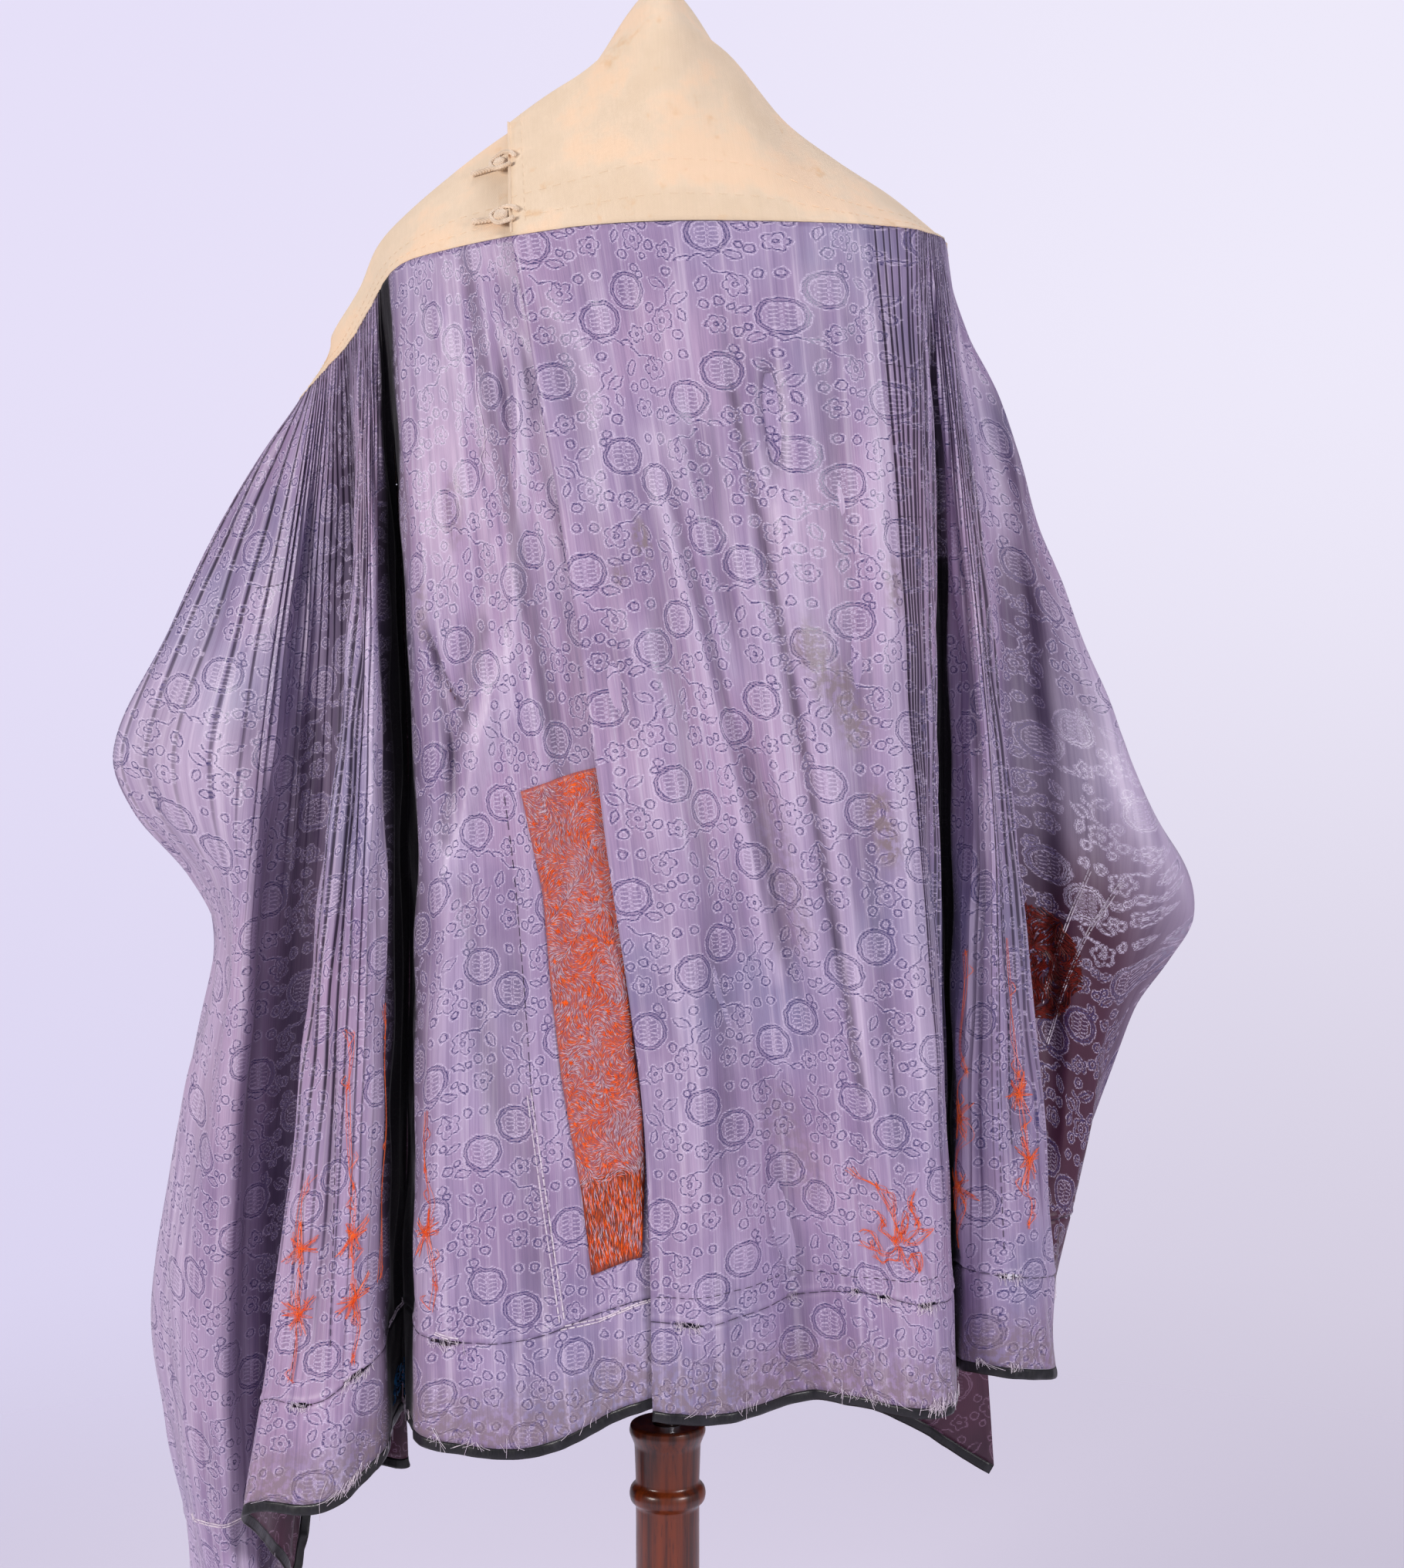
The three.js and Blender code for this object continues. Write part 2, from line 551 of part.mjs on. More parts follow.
// Embroidered border strip on the left face panel; its right part runs in under the overlap
const stripRows = [
  { t: 0.447, left: 4.81, right: 3.95 },
  { t: 0.534, left: 4.68, right: 3.95 },
  { t: 0.605, left: 4.67, right: 3.98 },
  { t: 0.695, left: 4.63, right: 4.02 },
  { t: 0.749, left: 4.58, right: 4.01 },
  { t: 0.796, left: 4.53, right: 4.02 },
  { t: 0.872, left: 4.48, right: 4.07 },
];
addMesh(
  skirt,
  "embroidered_strip",
  wall(
    appliedGrid(underCloth, stripRows, STRIP_COLUMNS, STRIP_LIFT + APPLIED_WALL),
    appliedGrid(underCloth, stripRows, STRIP_COLUMNS, STRIP_LIFT),
  ),
  "embroidery",
);

// Half-round medallion patch on the inner side of the right face panel
addMesh(
  skirt,
  "medallion_patch",
  wall(
    appliedGrid(outerCloth, medallionRows(), MEDALLION_COLUMNS, -SILK_WALL - MEDALLION_LIFT),
    appliedGrid(
      outerCloth, medallionRows(), MEDALLION_COLUMNS, -SILK_WALL - MEDALLION_LIFT - APPLIED_WALL,
    ),
  ),
  "medallion",
);

function medallionRows() {
  const centre = { t: 0.652, place: placeOf(outerLength, rightFacePanel[0]) + 1.05 };
  return Array.from({ length: MEDALLION_ROWS + 1 }, (_, i) => {
    const angle = THREE.MathUtils.lerp(-0.46, 0.46, i / MEDALLION_ROWS) * Math.PI;
    const half = Math.cos(angle) * 0.9;
    const t = centre.t + Math.sin(angle) * 0.06;
    return { t, left: centre.place - half, right: centre.place + half };
  });
}

// Knot buttons: cotton cord worked into a ball, its two ends laid flat on the under end of the
// band, and a loop sewn to the overlapping end that passes round the ball. step is how far the
// overlapping end stands above the under end there.
const knotButtons = [
  { name: "upper", share: 0.36, step: 7.4, tail: 17, fall: 7 },
  { name: "lower", share: 0.085, step: 5.2, tail: 17, fall: 3 },
];
for (const { name, share, step, tail, fall } of knotButtons) {
  const surface = bandSurface();
  const underEnd = bandRibs.findIndex((rib) => rib.line[1] === "under free edge");
  const place = underEnd - KNOT_FROM_EDGE;
  const out = normalOf(surface, bandRibs.length - 1, place, share, 1);
  const up = new THREE.Vector3(0, 0, 1).addScaledVector(out, -out.z).normalize();
  const right = up.clone().cross(out).normalize();
  const base = surface(place, share);
  const at = (x, y, lift) =>
    base.clone().addScaledVector(right, x).addScaledVector(up, y).addScaledVector(out, lift);

  const ball = new THREE.SphereGeometry(KNOT_RADIUS, 12, 8);
  ball.scale(1, 0.9, KNOT_FLATNESS);
  ball.applyMatrix4(new THREE.Matrix4().makeBasis(right, up, out));
  const ballLift = KNOT_RADIUS * KNOT_FLATNESS + CORD_GAP;
  ball.translate(...at(0, 0, ballLift).toArray());
  addMesh(skirt, name + "_knot_button", closed(ball), "cotton");

  const tailStart = -KNOT_RADIUS - CORD_GAP;
  const tailLift = TAIL_RADIUS + CORD_GAP;
  const tailPoints = [0, 0.5, 1].map((f) => at(tailStart - f * tail, -f * fall, tailLift));
  addMesh(skirt, name + "_knot_tail", cord(tailPoints, TAIL_RADIUS, 6), "cotton");

  const onBand = step + CORD_RADIUS + CORD_GAP;
  const overTail = tailLift + TAIL_RADIUS + CORD_RADIUS + CORD_GAP;
  const side = KNOT_RADIUS + CORD_RADIUS + CORD_GAP;
  const loopPoints = [
    at(LOOP_END, side * 0.45, onBand),
    at(side, side * 0.9, onBand),
    at(0, side, Math.max(ballLift, onBand - 1)),
    at(-side, 0, overTail),
    at(0, -side, Math.max(ballLift, onBand - 1)),
    at(side, -side * 0.9, onBand),
    at(LOOP_END, -side * 0.45, onBand),
  ];
  addMesh(skirt, name + "_knot_loop", cord(loopPoints, CORD_RADIUS, 16), "cotton");
}

// A round cord along a smooth curve through the points
function cord(points, radius, steps) {
  const section = new THREE.Shape();
  section.absarc(0, 0, radius, 0, 2 * Math.PI);
  const path = new THREE.CatmullRomCurve3(points, false, "centripetal");
  return closed(
    new THREE.ExtrudeGeometry(section, { steps, curveSegments: 4, extrudePath: path }),
  );
}

// One body from a ready-made geometry: only positions kept, shared corners merged
function closed(geometry) {
  geometry.deleteAttribute("uv");
  geometry.deleteAttribute("normal");
  const merged = mergeVertices(geometry, 1e-3);
  const index = [];
  const old = merged.index.array;
  for (let i = 0; i < old.length; i += 3) {
    const [a, b, c] = [old[i], old[i + 1], old[i + 2]];
    if (a !== b && b !== c && c !== a) index.push(a, b, c);
  }
  return facingOut(Array.from(merged.getAttribute("position").array), index);
}

// Limbless torso: level sections from its lower cover to the neck cap. half is half the breadth,
// front and back are the depths either side of the column's axis.
const torsoSections = [
  { z: FORM_BOTTOM, half: 150, front: 88, back: 92 },
  { z: 860, half: 164, front: 100, back: 106 },
  { z: 960, half: 150, front: 94, back: 98 },
  { z: 1060, half: 124, front: 84, back: 84 },
  { z: 1150, half: 138, front: 94, back: 86 },
  { z: 1240, half: 156, front: 106, back: 90 },
  { z: 1300, half: 168, front: 90, back: 88 },
  { z: 1338, half: 176, front: 62, back: 76 },
  { z: 1360, half: 160, front: 48, back: 64 },
  { z: 1384, half: 130, front: 42, back: 54 },
  { z: 1402, half: 94, front: 39, back: 48 },
  { z: 1420, half: 62, front: 39, back: 40 },
  { z: 1438, half: 43, front: 44, back: 34 },
  { z: NECK_TOP, half: NECK_RADIUS, front: NECK_RADIUS + NECK_LEAN, back: NECK_RADIUS - NECK_LEAN },
];

function torso() {
  const around = Array.from({ length: TORSO_SIDES }, (_, i) => (i / TORSO_SIDES) * 2 * Math.PI);
  const positions = torsoSections.flatMap(({ z, half, front, back }) =>
    around.flatMap((angle) => {
      const [c, s] = [Math.cos(angle), Math.sin(angle)];
      const square = (v) => Math.sign(v) * Math.pow(Math.abs(v), TORSO_SQUARENESS);
      return [half * square(c), (s < 0 ? front : back) * square(s), z];
    }),
  );
  const index = [];
  const n = TORSO_SIDES;
  torsoSections.slice(1).forEach((_, k) => {
    for (let i = 0; i < n; i++) {
      const [a, b] = [k * n + i, k * n + ((i + 1) % n)];
      index.push(a, b, b + n, a, b + n, a + n);
    }
  });
  const top = (torsoSections.length - 1) * n;
  for (let i = 1; i < n - 1; i++) {
    index.push(0, i + 1, i);
    index.push(top, top + i, top + i + 1);
  }
  return facingOut(positions, index);
}

// A turned piece from a profile of radius and height pairs, first and last on the axis
const turned = (profile) =>
  closed(
    new THREE.LatheGeometry(
      profile.map(([radius, z]) => new THREE.Vector2(radius, z)),
      TURNED_SIDES,
    ).rotateX(Math.PI / 2),
  );

addMesh(stand, "dress_form", torso(), "jersey");
addMesh(
  stand,
  "neck_finial",
  turned([
    [0, NECK_TOP + CLEARANCE],
    [NECK_RADIUS - 5, NECK_TOP + CLEARANCE],
    [NECK_RADIUS - 3, NECK_TOP + 3],
    [NECK_RADIUS - 6, NECK_TOP + 6],
    [10, NECK_TOP + 9],
    [6, FINIAL_TOP - 40],
    [6, FINIAL_TOP - 30],
    [9, FINIAL_TOP - 22],
    [10, FINIAL_TOP - 15],
    [9, FINIAL_TOP - 7],
    [5, FINIAL_TOP - 1.5],
    [0, FINIAL_TOP],
  ]).translate(0, -NECK_LEAN, 0),
  "wood",
);
addMesh(
  stand,
  "steel_rod",
  turned([
    [0, COLUMN_TOP - SOCKET_DEPTH],
    [ROD_RADIUS, COLUMN_TOP - SOCKET_DEPTH],
    [ROD_RADIUS, FORM_BOTTOM - CLEARANCE],
    [0, FORM_BOTTOM - CLEARANCE],
  ]),
  "steel",
);
addMesh(
  stand,
  "turned_column",
  turned([
    [0, BASE_HEIGHT + CLEARANCE],
    [COLUMN_FOOT_RADIUS, BASE_HEIGHT + CLEARANCE],
    [COLUMN_FOOT_RADIUS, BASE_HEIGHT + 10],
    [COLUMN_FOOT_RADIUS - 6, BASE_HEIGHT + 18],
    [COLUMN_RADIUS, BASE_HEIGHT + 34],
    [COLUMN_RADIUS, RING_HEIGHT - 9],
    [COLUMN_COLLAR_RADIUS - 1, RING_HEIGHT - 5],
    [COLUMN_COLLAR_RADIUS, RING_HEIGHT],
    [COLUMN_COLLAR_RADIUS - 1, RING_HEIGHT + 5],
    [COLUMN_RADIUS, RING_HEIGHT + 9],
    [COLUMN_RADIUS + 1, COLUMN_TOP - 16],
    [COLUMN_COLLAR_RADIUS - 2, COLUMN_TOP - 11],
    [COLUMN_COLLAR_RADIUS, COLUMN_TOP - 6],
    [COLUMN_COLLAR_RADIUS - 1, COLUMN_TOP - 1],
    [COLUMN_COLLAR_RADIUS - 3, COLUMN_TOP],
    [ROD_RADIUS + CLEARANCE, COLUMN_TOP],
    [ROD_RADIUS + CLEARANCE, COLUMN_TOP - SOCKET_DEPTH - CLEARANCE],
    [0, COLUMN_TOP - SOCKET_DEPTH - CLEARANCE],
  ]),
  "wood",
);
addMesh(
  stand,
  "round_base",
  turned([
    [0, 0],
    [BASE_RADIUS - 3, 0],
    [BASE_RADIUS, 3],
    [BASE_RADIUS, BASE_HEIGHT - 10],
    [BASE_RADIUS - 5, BASE_HEIGHT - 3],
    [BASE_RADIUS - 14, BASE_HEIGHT],
    [0, BASE_HEIGHT],
  ]),
  "wood",
);

export default new THREE.Group().add(skirt, stand);
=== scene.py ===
import math

import bpy
import numpy as np
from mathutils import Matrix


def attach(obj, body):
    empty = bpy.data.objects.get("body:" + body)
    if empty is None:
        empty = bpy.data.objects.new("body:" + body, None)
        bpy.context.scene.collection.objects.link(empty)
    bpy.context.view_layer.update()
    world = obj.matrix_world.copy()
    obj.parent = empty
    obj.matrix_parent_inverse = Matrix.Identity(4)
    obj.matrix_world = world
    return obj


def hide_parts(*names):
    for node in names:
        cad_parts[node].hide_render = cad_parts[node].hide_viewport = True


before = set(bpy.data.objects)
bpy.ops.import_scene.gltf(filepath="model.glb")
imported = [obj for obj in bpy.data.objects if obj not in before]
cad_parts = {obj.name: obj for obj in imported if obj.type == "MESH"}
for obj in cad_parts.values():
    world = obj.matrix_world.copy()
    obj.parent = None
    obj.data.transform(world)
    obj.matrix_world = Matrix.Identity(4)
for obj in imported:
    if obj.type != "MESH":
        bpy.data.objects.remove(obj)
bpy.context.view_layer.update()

# Camera: the photographer stood 2.5 m in front of the opening with a long lens, a little above
# the waist, looking slightly down.
LONG_SIDE_LENS = 79.2
camera = bpy.data.objects.new("photo_camera", bpy.data.cameras.new("photo_camera"))
camera.data.lens = LONG_SIDE_LENS
camera.data.sensor_width = 36
camera.location = (0.026, -2.5, 1.33)
camera.rotation_euler = (math.radians(90 - 8.5), 0, 0)
bpy.context.collection.objects.link(camera)
bpy.context.scene.camera = camera

# Stand: a beech base and column turned on a lathe, stained red-brown and varnished, with a
# polished steel rod in the column's collar and a small turned finial on the form's neck.
MM = 0.001
COLUMN_TOP = 470
RING_HEIGHT = 415
FORM_BOTTOM = 770
NECK_TOP = 1460
NECK_LEAN = 12
FINIAL_TOP = 1517.2
TURNED_SIDES = 96


def linear(code):
    """The linear colour of an sRGB hex code."""
    shares = [int(code[i:i + 2], 16) / 255 for i in (1, 3, 5)]
    return tuple(c / 12.92 if c < 0.04045 else ((c + 0.055) / 1.055) ** 2.4 for c in shares) + (1,)


def add(tree, kind, inputs=(), out=0, **settings):
    """Adds one node with its settings; sockets among the inputs are linked, values are set."""
    made = tree.nodes.new("ShaderNode" + kind)
    for name, value in settings.items():
        setattr(made, name, value)
    given = inputs.items() if isinstance(inputs, dict) else enumerate(inputs)
    for key, value in given:
        if isinstance(value, bpy.types.NodeSocket):
            tree.links.new(value, made.inputs[key])
        elif value is not None:
            made.inputs[key].default_value = value
    return made.outputs[out] if made.outputs else made


def new_material(name):
    """An empty node material and its tree."""
    material = bpy.data.materials.new(name)
    material.use_nodes = True
    tree = material.node_tree
    tree.nodes.clear()
    return material, tree


def finish_material(tree, shader_inputs):
    """The surface shader and the output; every plain number is set on the shader itself."""
    surface = add(tree, "BsdfPrincipled", shader_inputs)
    add(tree, "OutputMaterial", {"Surface": surface})


SMOOTH = {"interpolation_type": "SMOOTHSTEP"}
BLEND = {"out": 2, "data_type": "RGBA"}


def varnished_beech():
    """Beech: short dark flecks along the grain under a clear, slightly worn gloss varnish."""
    material, tree = new_material("varnished_beech")
    place = add(tree, "TexCoord", out=3)
    along = add(tree, "Mapping", {0: place, 3: (1 / 0.006, 1 / 0.006, 1 / 0.16)})
    grain = add(tree, "TexNoise", {0: along, 2: 1.0, 3: 5.0, 4: 0.6})
    fleck_space = add(tree, "Mapping", {0: place, 3: (1 / 0.0016, 1 / 0.0016, 1 / 0.014)})
    fleck = add(tree, "TexNoise", {0: fleck_space, 2: 1.0, 3: 2.0})
    flecks = add(tree, "MapRange", (fleck, 0.56, 0.7), **SMOOTH)
    tone = add(tree, "Mix", {
        0: add(tree, "MapRange", (grain, 0.35, 0.68), **SMOOTH),
        6: linear("#702C08"), 7: linear("#3A1305"),
    }, **BLEND)
    tone = add(tree, "Mix", {
        0: add(tree, "Math", (flecks, 0.5), operation="MULTIPLY"),
        6: tone, 7: linear("#32100A"),
    }, **BLEND)
    wear_and_painted_light = add(tree, "TexNoise", {0: place, 2: 30.0, 3: 6.0})
    rough = add(tree, "MapRange", (wear_and_painted_light, 0.4, 0.75, 0.3, 0.48), **SMOOTH)
    height = add(tree, "Bump", {"Strength": 0.25, "Distance": 0.0004, "Height": grain})
    finish_material(tree, {
        "Base Color": tone, "Roughness": rough, "Normal": height, "IOR": 1.5,
        "Coat Weight": 0.3, "Coat Roughness": 0.15,
    })
    return material


def polished_steel():
    """Steel tube: drawn and polished, with faint rings left by the polishing belt."""
    material, tree = new_material("polished_steel")
    place = add(tree, "TexCoord", out=3)
    rings = add(tree, "Mapping", {0: place, 3: (20.0, 20.0, 1 / 0.0008)})
    marks = add(tree, "TexNoise", {0: rings, 2: 1.0, 3: 3.0})
    smudge = add(tree, "TexNoise", {0: place, 2: 40.0, 3: 4.0})
    belt = add(tree, "MapRange", (marks, 0.3, 0.7, 0.12, 0.24), **SMOOTH)
    touched = add(tree, "MapRange", (smudge, 0.5, 0.8, 0.0, 0.12), **SMOOTH)
    rough = add(tree, "Math", (belt, touched), operation="ADD")
    finish_material(tree, {
        "Base Color": add(tree, "Mix", {
            0: smudge,
            6: linear("#B9BBC0"), 7: linear("#A3A3A8"),
        }, **BLEND),
        "Metallic": 1.0, "Roughness": rough,
        "Normal": add(tree, "Bump", {"Strength": 0.1, "Distance": 0.0001, "Height": marks}),
    })
    return material


def new_object(name, points, faces, material, smooth=True):
    """A mesh object in metres from points in millimetres, carried by the part's one body."""
    mesh = bpy.data.meshes.new(name)
    mesh.from_pydata((np.asarray(points, float) * MM).tolist(), [], faces)
    mesh.polygons.foreach_set("use_smooth", [smooth] * len(mesh.polygons))
    mesh.materials.append(material)
    made = bpy.data.objects.new(name, mesh)
    bpy.context.collection.objects.link(made)
    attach(made, "root")
    return made


def rounded(profile, radius=2.0, steps=4):
    """The profile with each corner off the axis turned into a small curve."""
    points = [profile[0]]
    for before, corner, after in zip(profile, profile[1:], profile[2:]):
        b, c, a = np.array(before, float), np.array(corner, float), np.array(after, float)
        cut = min(radius, np.linalg.norm(b - c) * 0.45, np.linalg.norm(a - c) * 0.45)
        start = c + (b - c) / np.linalg.norm(b - c) * cut
        end = c + (a - c) / np.linalg.norm(a - c) * cut
        for i in range(steps + 1):
            f = i / steps
            points.append(tuple((1 - f) ** 2 * start + 2 * f * (1 - f) * c + f * f * end))
    return points + [profile[-1]]


def turned(name, node, profile, material, lean=0.0):
    """A lathe-turned piece in place of its CAD node; the profile starts and ends on the axis."""
    outline = rounded(profile)
    angles = np.linspace(0, 2 * math.pi, TURNED_SIDES, endpoint=False)
    rings = [(r * math.cos(a), r * math.sin(a) - lean, z) for r, z in outline[1:-1] for a in angles]
    points = rings + [(0, -lean, outline[0][1]), (0, -lean, outline[-1][1])]
    n, last = TURNED_SIDES, len(outline) - 3
    faces = []
    for k in range(last):
        for i in range(n):
            j = (i + 1) % n
            faces.append((k * n + i, k * n + j, (k + 1) * n + j, (k + 1) * n + i))
    for i in range(n):
        j = (i + 1) % n
        faces.append((len(points) - 2, j, i))
        faces.append((len(points) - 1, last * n + i, last * n + j))
    made = new_object(name, points, faces, material)
    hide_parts(node)


beech = varnished_beech()
steel = polished_steel()
COLLAR, COLUMN, FOOT, ROD, CLEARANCE = 29, 24, 36, 10, 0.4
BASE_RADIUS, BASE_HEIGHT, SOCKET = 190, 24, 40
turned("beech_base", "round_base", [
    (0, 0), (BASE_RADIUS - 3, 0), (BASE_RADIUS, 3), (BASE_RADIUS, BASE_HEIGHT - 10),
    (BASE_RADIUS - 5, BASE_HEIGHT - 3), (BASE_RADIUS - 14, BASE_HEIGHT), (0, BASE_HEIGHT),
], beech)
turned("beech_column", "turned_column", [
    (0, BASE_HEIGHT + CLEARANCE), (FOOT, BASE_HEIGHT + CLEARANCE), (FOOT, BASE_HEIGHT + 10),
    (FOOT - 6, BASE_HEIGHT + 18), (COLUMN, BASE_HEIGHT + 34), (COLUMN, RING_HEIGHT - 9),
    (COLLAR - 1, RING_HEIGHT - 5), (COLLAR, RING_HEIGHT), (COLLAR - 1, RING_HEIGHT + 5),
    (COLUMN, RING_HEIGHT + 9), (COLUMN + 1, COLUMN_TOP - 16), (COLLAR - 2, COLUMN_TOP - 11),
    (COLLAR, COLUMN_TOP - 6), (COLLAR - 1, COLUMN_TOP - 1), (COLLAR - 3, COLUMN_TOP),
    (ROD + CLEARANCE, COLUMN_TOP), (ROD + CLEARANCE, COLUMN_TOP - SOCKET - CLEARANCE),
    (0, COLUMN_TOP - SOCKET - CLEARANCE),
], beech)
turned("polished_rod", "steel_rod", [
    (0, COLUMN_TOP - SOCKET), (ROD, COLUMN_TOP - SOCKET),
    (ROD, FORM_BOTTOM - CLEARANCE), (0, FORM_BOTTOM - CLEARANCE),
], steel)
turned("beech_finial", "neck_finial", [
    (0, NECK_TOP + CLEARANCE), (31, NECK_TOP + CLEARANCE), (33, NECK_TOP + 3), (30, NECK_TOP + 6),
    (10, NECK_TOP + 9), (6, FINIAL_TOP - 40), (6, FINIAL_TOP - 30), (9, FINIAL_TOP - 22),
    (10, FINIAL_TOP - 15), (9, FINIAL_TOP - 7), (5, FINIAL_TOP - 1.5), (0, FINIAL_TOP),
], beech, NECK_LEAN)


# Dress form: a limbless torso of papier-mâché under a knitted jersey cover, sewn up the sides
# and stretched tight, resting on the steel rod.
TORSO = (
    dict(z=FORM_BOTTOM, half=150, front=88, back=92),
    dict(z=860, half=164, front=100, back=106),
    dict(z=960, half=150, front=94, back=98),
    dict(z=1060, half=124, front=84, back=84),
    dict(z=1150, half=138, front=94, back=86),
    dict(z=1240, half=156, front=106, back=90),
    dict(z=1300, half=168, front=90, back=88),
    dict(z=1338, half=176, front=62, back=76),
    dict(z=1360, half=160, front=48, back=64),
    dict(z=1384, half=130, front=42, back=54),
    dict(z=1402, half=94, front=39, back=48),
    dict(z=1420, half=62, front=39, back=40),
    dict(z=1438, half=43, front=44, back=34),
    dict(z=NECK_TOP, half=36, front=48, back=24),
)
TORSO_SQUARENESS = 0.9


def through(values, shares, t):
    """A smooth run through the values that stand at the given shares, read at every t."""
    values, shares, t = (np.asarray(a, float) for a in (values, shares, t))
    last = len(values) - 1
    after = np.minimum(np.arange(last + 1) + 1, last)
    before = np.maximum(np.arange(last + 1) - 1, 0)
    slope = (values[after] - values[before]) / (shares[after] - shares[before])
    i = np.clip(np.searchsorted(shares, t, side="left") - 1, 0, last - 1)
    span = shares[i + 1] - shares[i]
    f = (t - shares[i]) / span
    a, b = values[i], values[i + 1]
    rise, fall = slope[i] * span, slope[i + 1] * span
    return a + f * (rise + f * (3 * (b - a) - 2 * rise - fall + f * (2 * (a - b) + rise + fall)))


def cotton_jersey():
    """Knitted jersey: matt, with fine columns of loops about 1 mm apart and painted shade between them."""
    material, tree = new_material("cotton_jersey")
    place = add(tree, "TexCoord", out=3)
    ribs = add(tree, "TexWave", {0: place, 1: 1 / 0.0016 / (2 * math.pi) * 3.14, 2: 1.5, 3: 2.0},
               wave_type="BANDS", bands_direction="X")
    rows = add(tree, "TexWave", {0: place, 1: 1 / 0.0014 / (2 * math.pi) * 3.14, 2: 1.0, 3: 2.0},
               wave_type="BANDS", bands_direction="Z")
    loops = add(tree, "Math", (ribs, rows), operation="MULTIPLY")
    age = add(tree, "TexNoise", {0: place, 2: 9.0, 3: 5.0})
    tone = add(tree, "Mix", {
        0: add(tree, "MapRange", (age, 0.4, 0.7), **SMOOTH),
        6: linear("#E9E5DC"), 7: linear("#D6CDBB"),
    }, **BLEND)
    # Painted shade in the gaps between the loops
    finish_material(tree, {
        "Base Color": add(tree, "Mix", {
            0: add(tree, "MapRange", (loops, 0.0, 0.4, 0.25, 0.0), **SMOOTH),
            6: tone, 7: linear("#B9B0A0"),
        }, **BLEND),
        "Roughness": 0.85, "Sheen Weight": 0.3, "Sheen Roughness": 0.5, "IOR": 1.5,
        "Normal": add(tree, "Bump", {"Strength": 0.4, "Distance": 0.0004, "Height": loops}),
    })
    return material


def torso():
    """The torso's skin: level sections run smoothly into each other."""
    heights = [s["z"] for s in TORSO]
    z = np.concatenate([np.linspace(a, b, 8, endpoint=False) for a, b in zip(heights, heights[1:])])
    z = np.append(z, NECK_TOP)
    round_angles = np.linspace(0, 2 * math.pi, TURNED_SIDES, endpoint=False)
    size = {}
    for key in ("half", "front", "back"):
        straight = np.interp(z, heights, [s[key] for s in TORSO])
        smooth = through([s[key] for s in TORSO], heights, z)
        size[key] = np.clip(smooth, straight - 3, straight + 1)
    c, s = np.cos(round_angles), np.sin(round_angles)
    square_c = np.sign(c) * np.abs(c) ** TORSO_SQUARENESS
    square_s = np.sign(s) * np.abs(s) ** TORSO_SQUARENESS
    depth = np.where(s < 0, size["front"][:, None], size["back"][:, None])
    x = size["half"][:, None] * square_c
    points = np.stack([x, depth * square_s, np.repeat(z[:, None], len(c), 1)], 2).reshape(-1, 3)
    n, rings = TURNED_SIDES, len(z)
    faces = [(k * n + i, k * n + (i + 1) % n, (k + 1) * n + (i + 1) % n, (k + 1) * n + i)
             for k in range(rings - 1) for i in range(n)]
    faces.append(tuple(range(n - 1, -1, -1)))
    faces.append(tuple((rings - 1) * n + i for i in range(n)))
    made = new_object("jersey_torso", points, faces, cotton_jersey())
    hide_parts("dress_form")


torso()


# Silk lengths: two lengths of figured silk damask, each laid in folds and fine pleats. Every fold
# line runs from the waist seam (share 0) to the hem (share 1); x and y are its places in
# millimetres at the shares in "at", and seam and hem are its heights.
PLAIN_PANEL = (
    dict(name="free edge", seam=1352, hem=530, x=(-105, -69, -41, -15, -9),
         y=(-100, -135, -141, -148, -150)),
    dict(name="swell", seam=1359, hem=529, x=(-52, -16, 15, 31, 37), y=(-106, -142, -151, -155, -156)),
    dict(name="hollow", seam=1362, hem=531, x=(5, 31, 61, 86, 103), y=(-110, -139, -137, -122, -108)),
    dict(name="crease", seam=1362, hem=532, x=(63, 84, 106, 129, 147), y=(-108, -142, -149, -141, -131)),
    dict(name="right swell", seam=1361, hem=530, x=(115, 132, 144, 162, 180),
         y=(-98, -132, -142, -146, -146)),
    dict(name="first pleat", seam=1360, hem=531, x=(141, 161, 176, 192, 201),
         y=(-88, -120, -132, -137, -139)),
)
RIGHT_GORE = (
    dict(name="pleat corner", seam=1357, hem=532, x=(176, 181, 187, 197, 207),
         y=(-60, -100, -118, -123, -128)),
    dict(name="groove", seam=1355, hem=540, x=(184, 195, 200, 205, 211), y=(-48, -60, -58, -54, -50)),
    dict(name="lobe left", seam=1354, hem=550, x=(189, 204, 216, 212, 216), y=(-39, -76, -92, -97, -97)),
    dict(name="lobe middle", seam=1353, hem=549, x=(193, 213, 232, 239, 250),
         y=(-30, -80, -102, -110, -112)),
    dict(name="lobe right", seam=1352, hem=539, x=(196, 223, 247, 269, 284), y=(-21, -60, -75, -80, -76)),
    dict(name="side groove", seam=1350, hem=541, x=(199, 216, 236, 254, 266), y=(-12, -16, -14, -8, 0)),
)
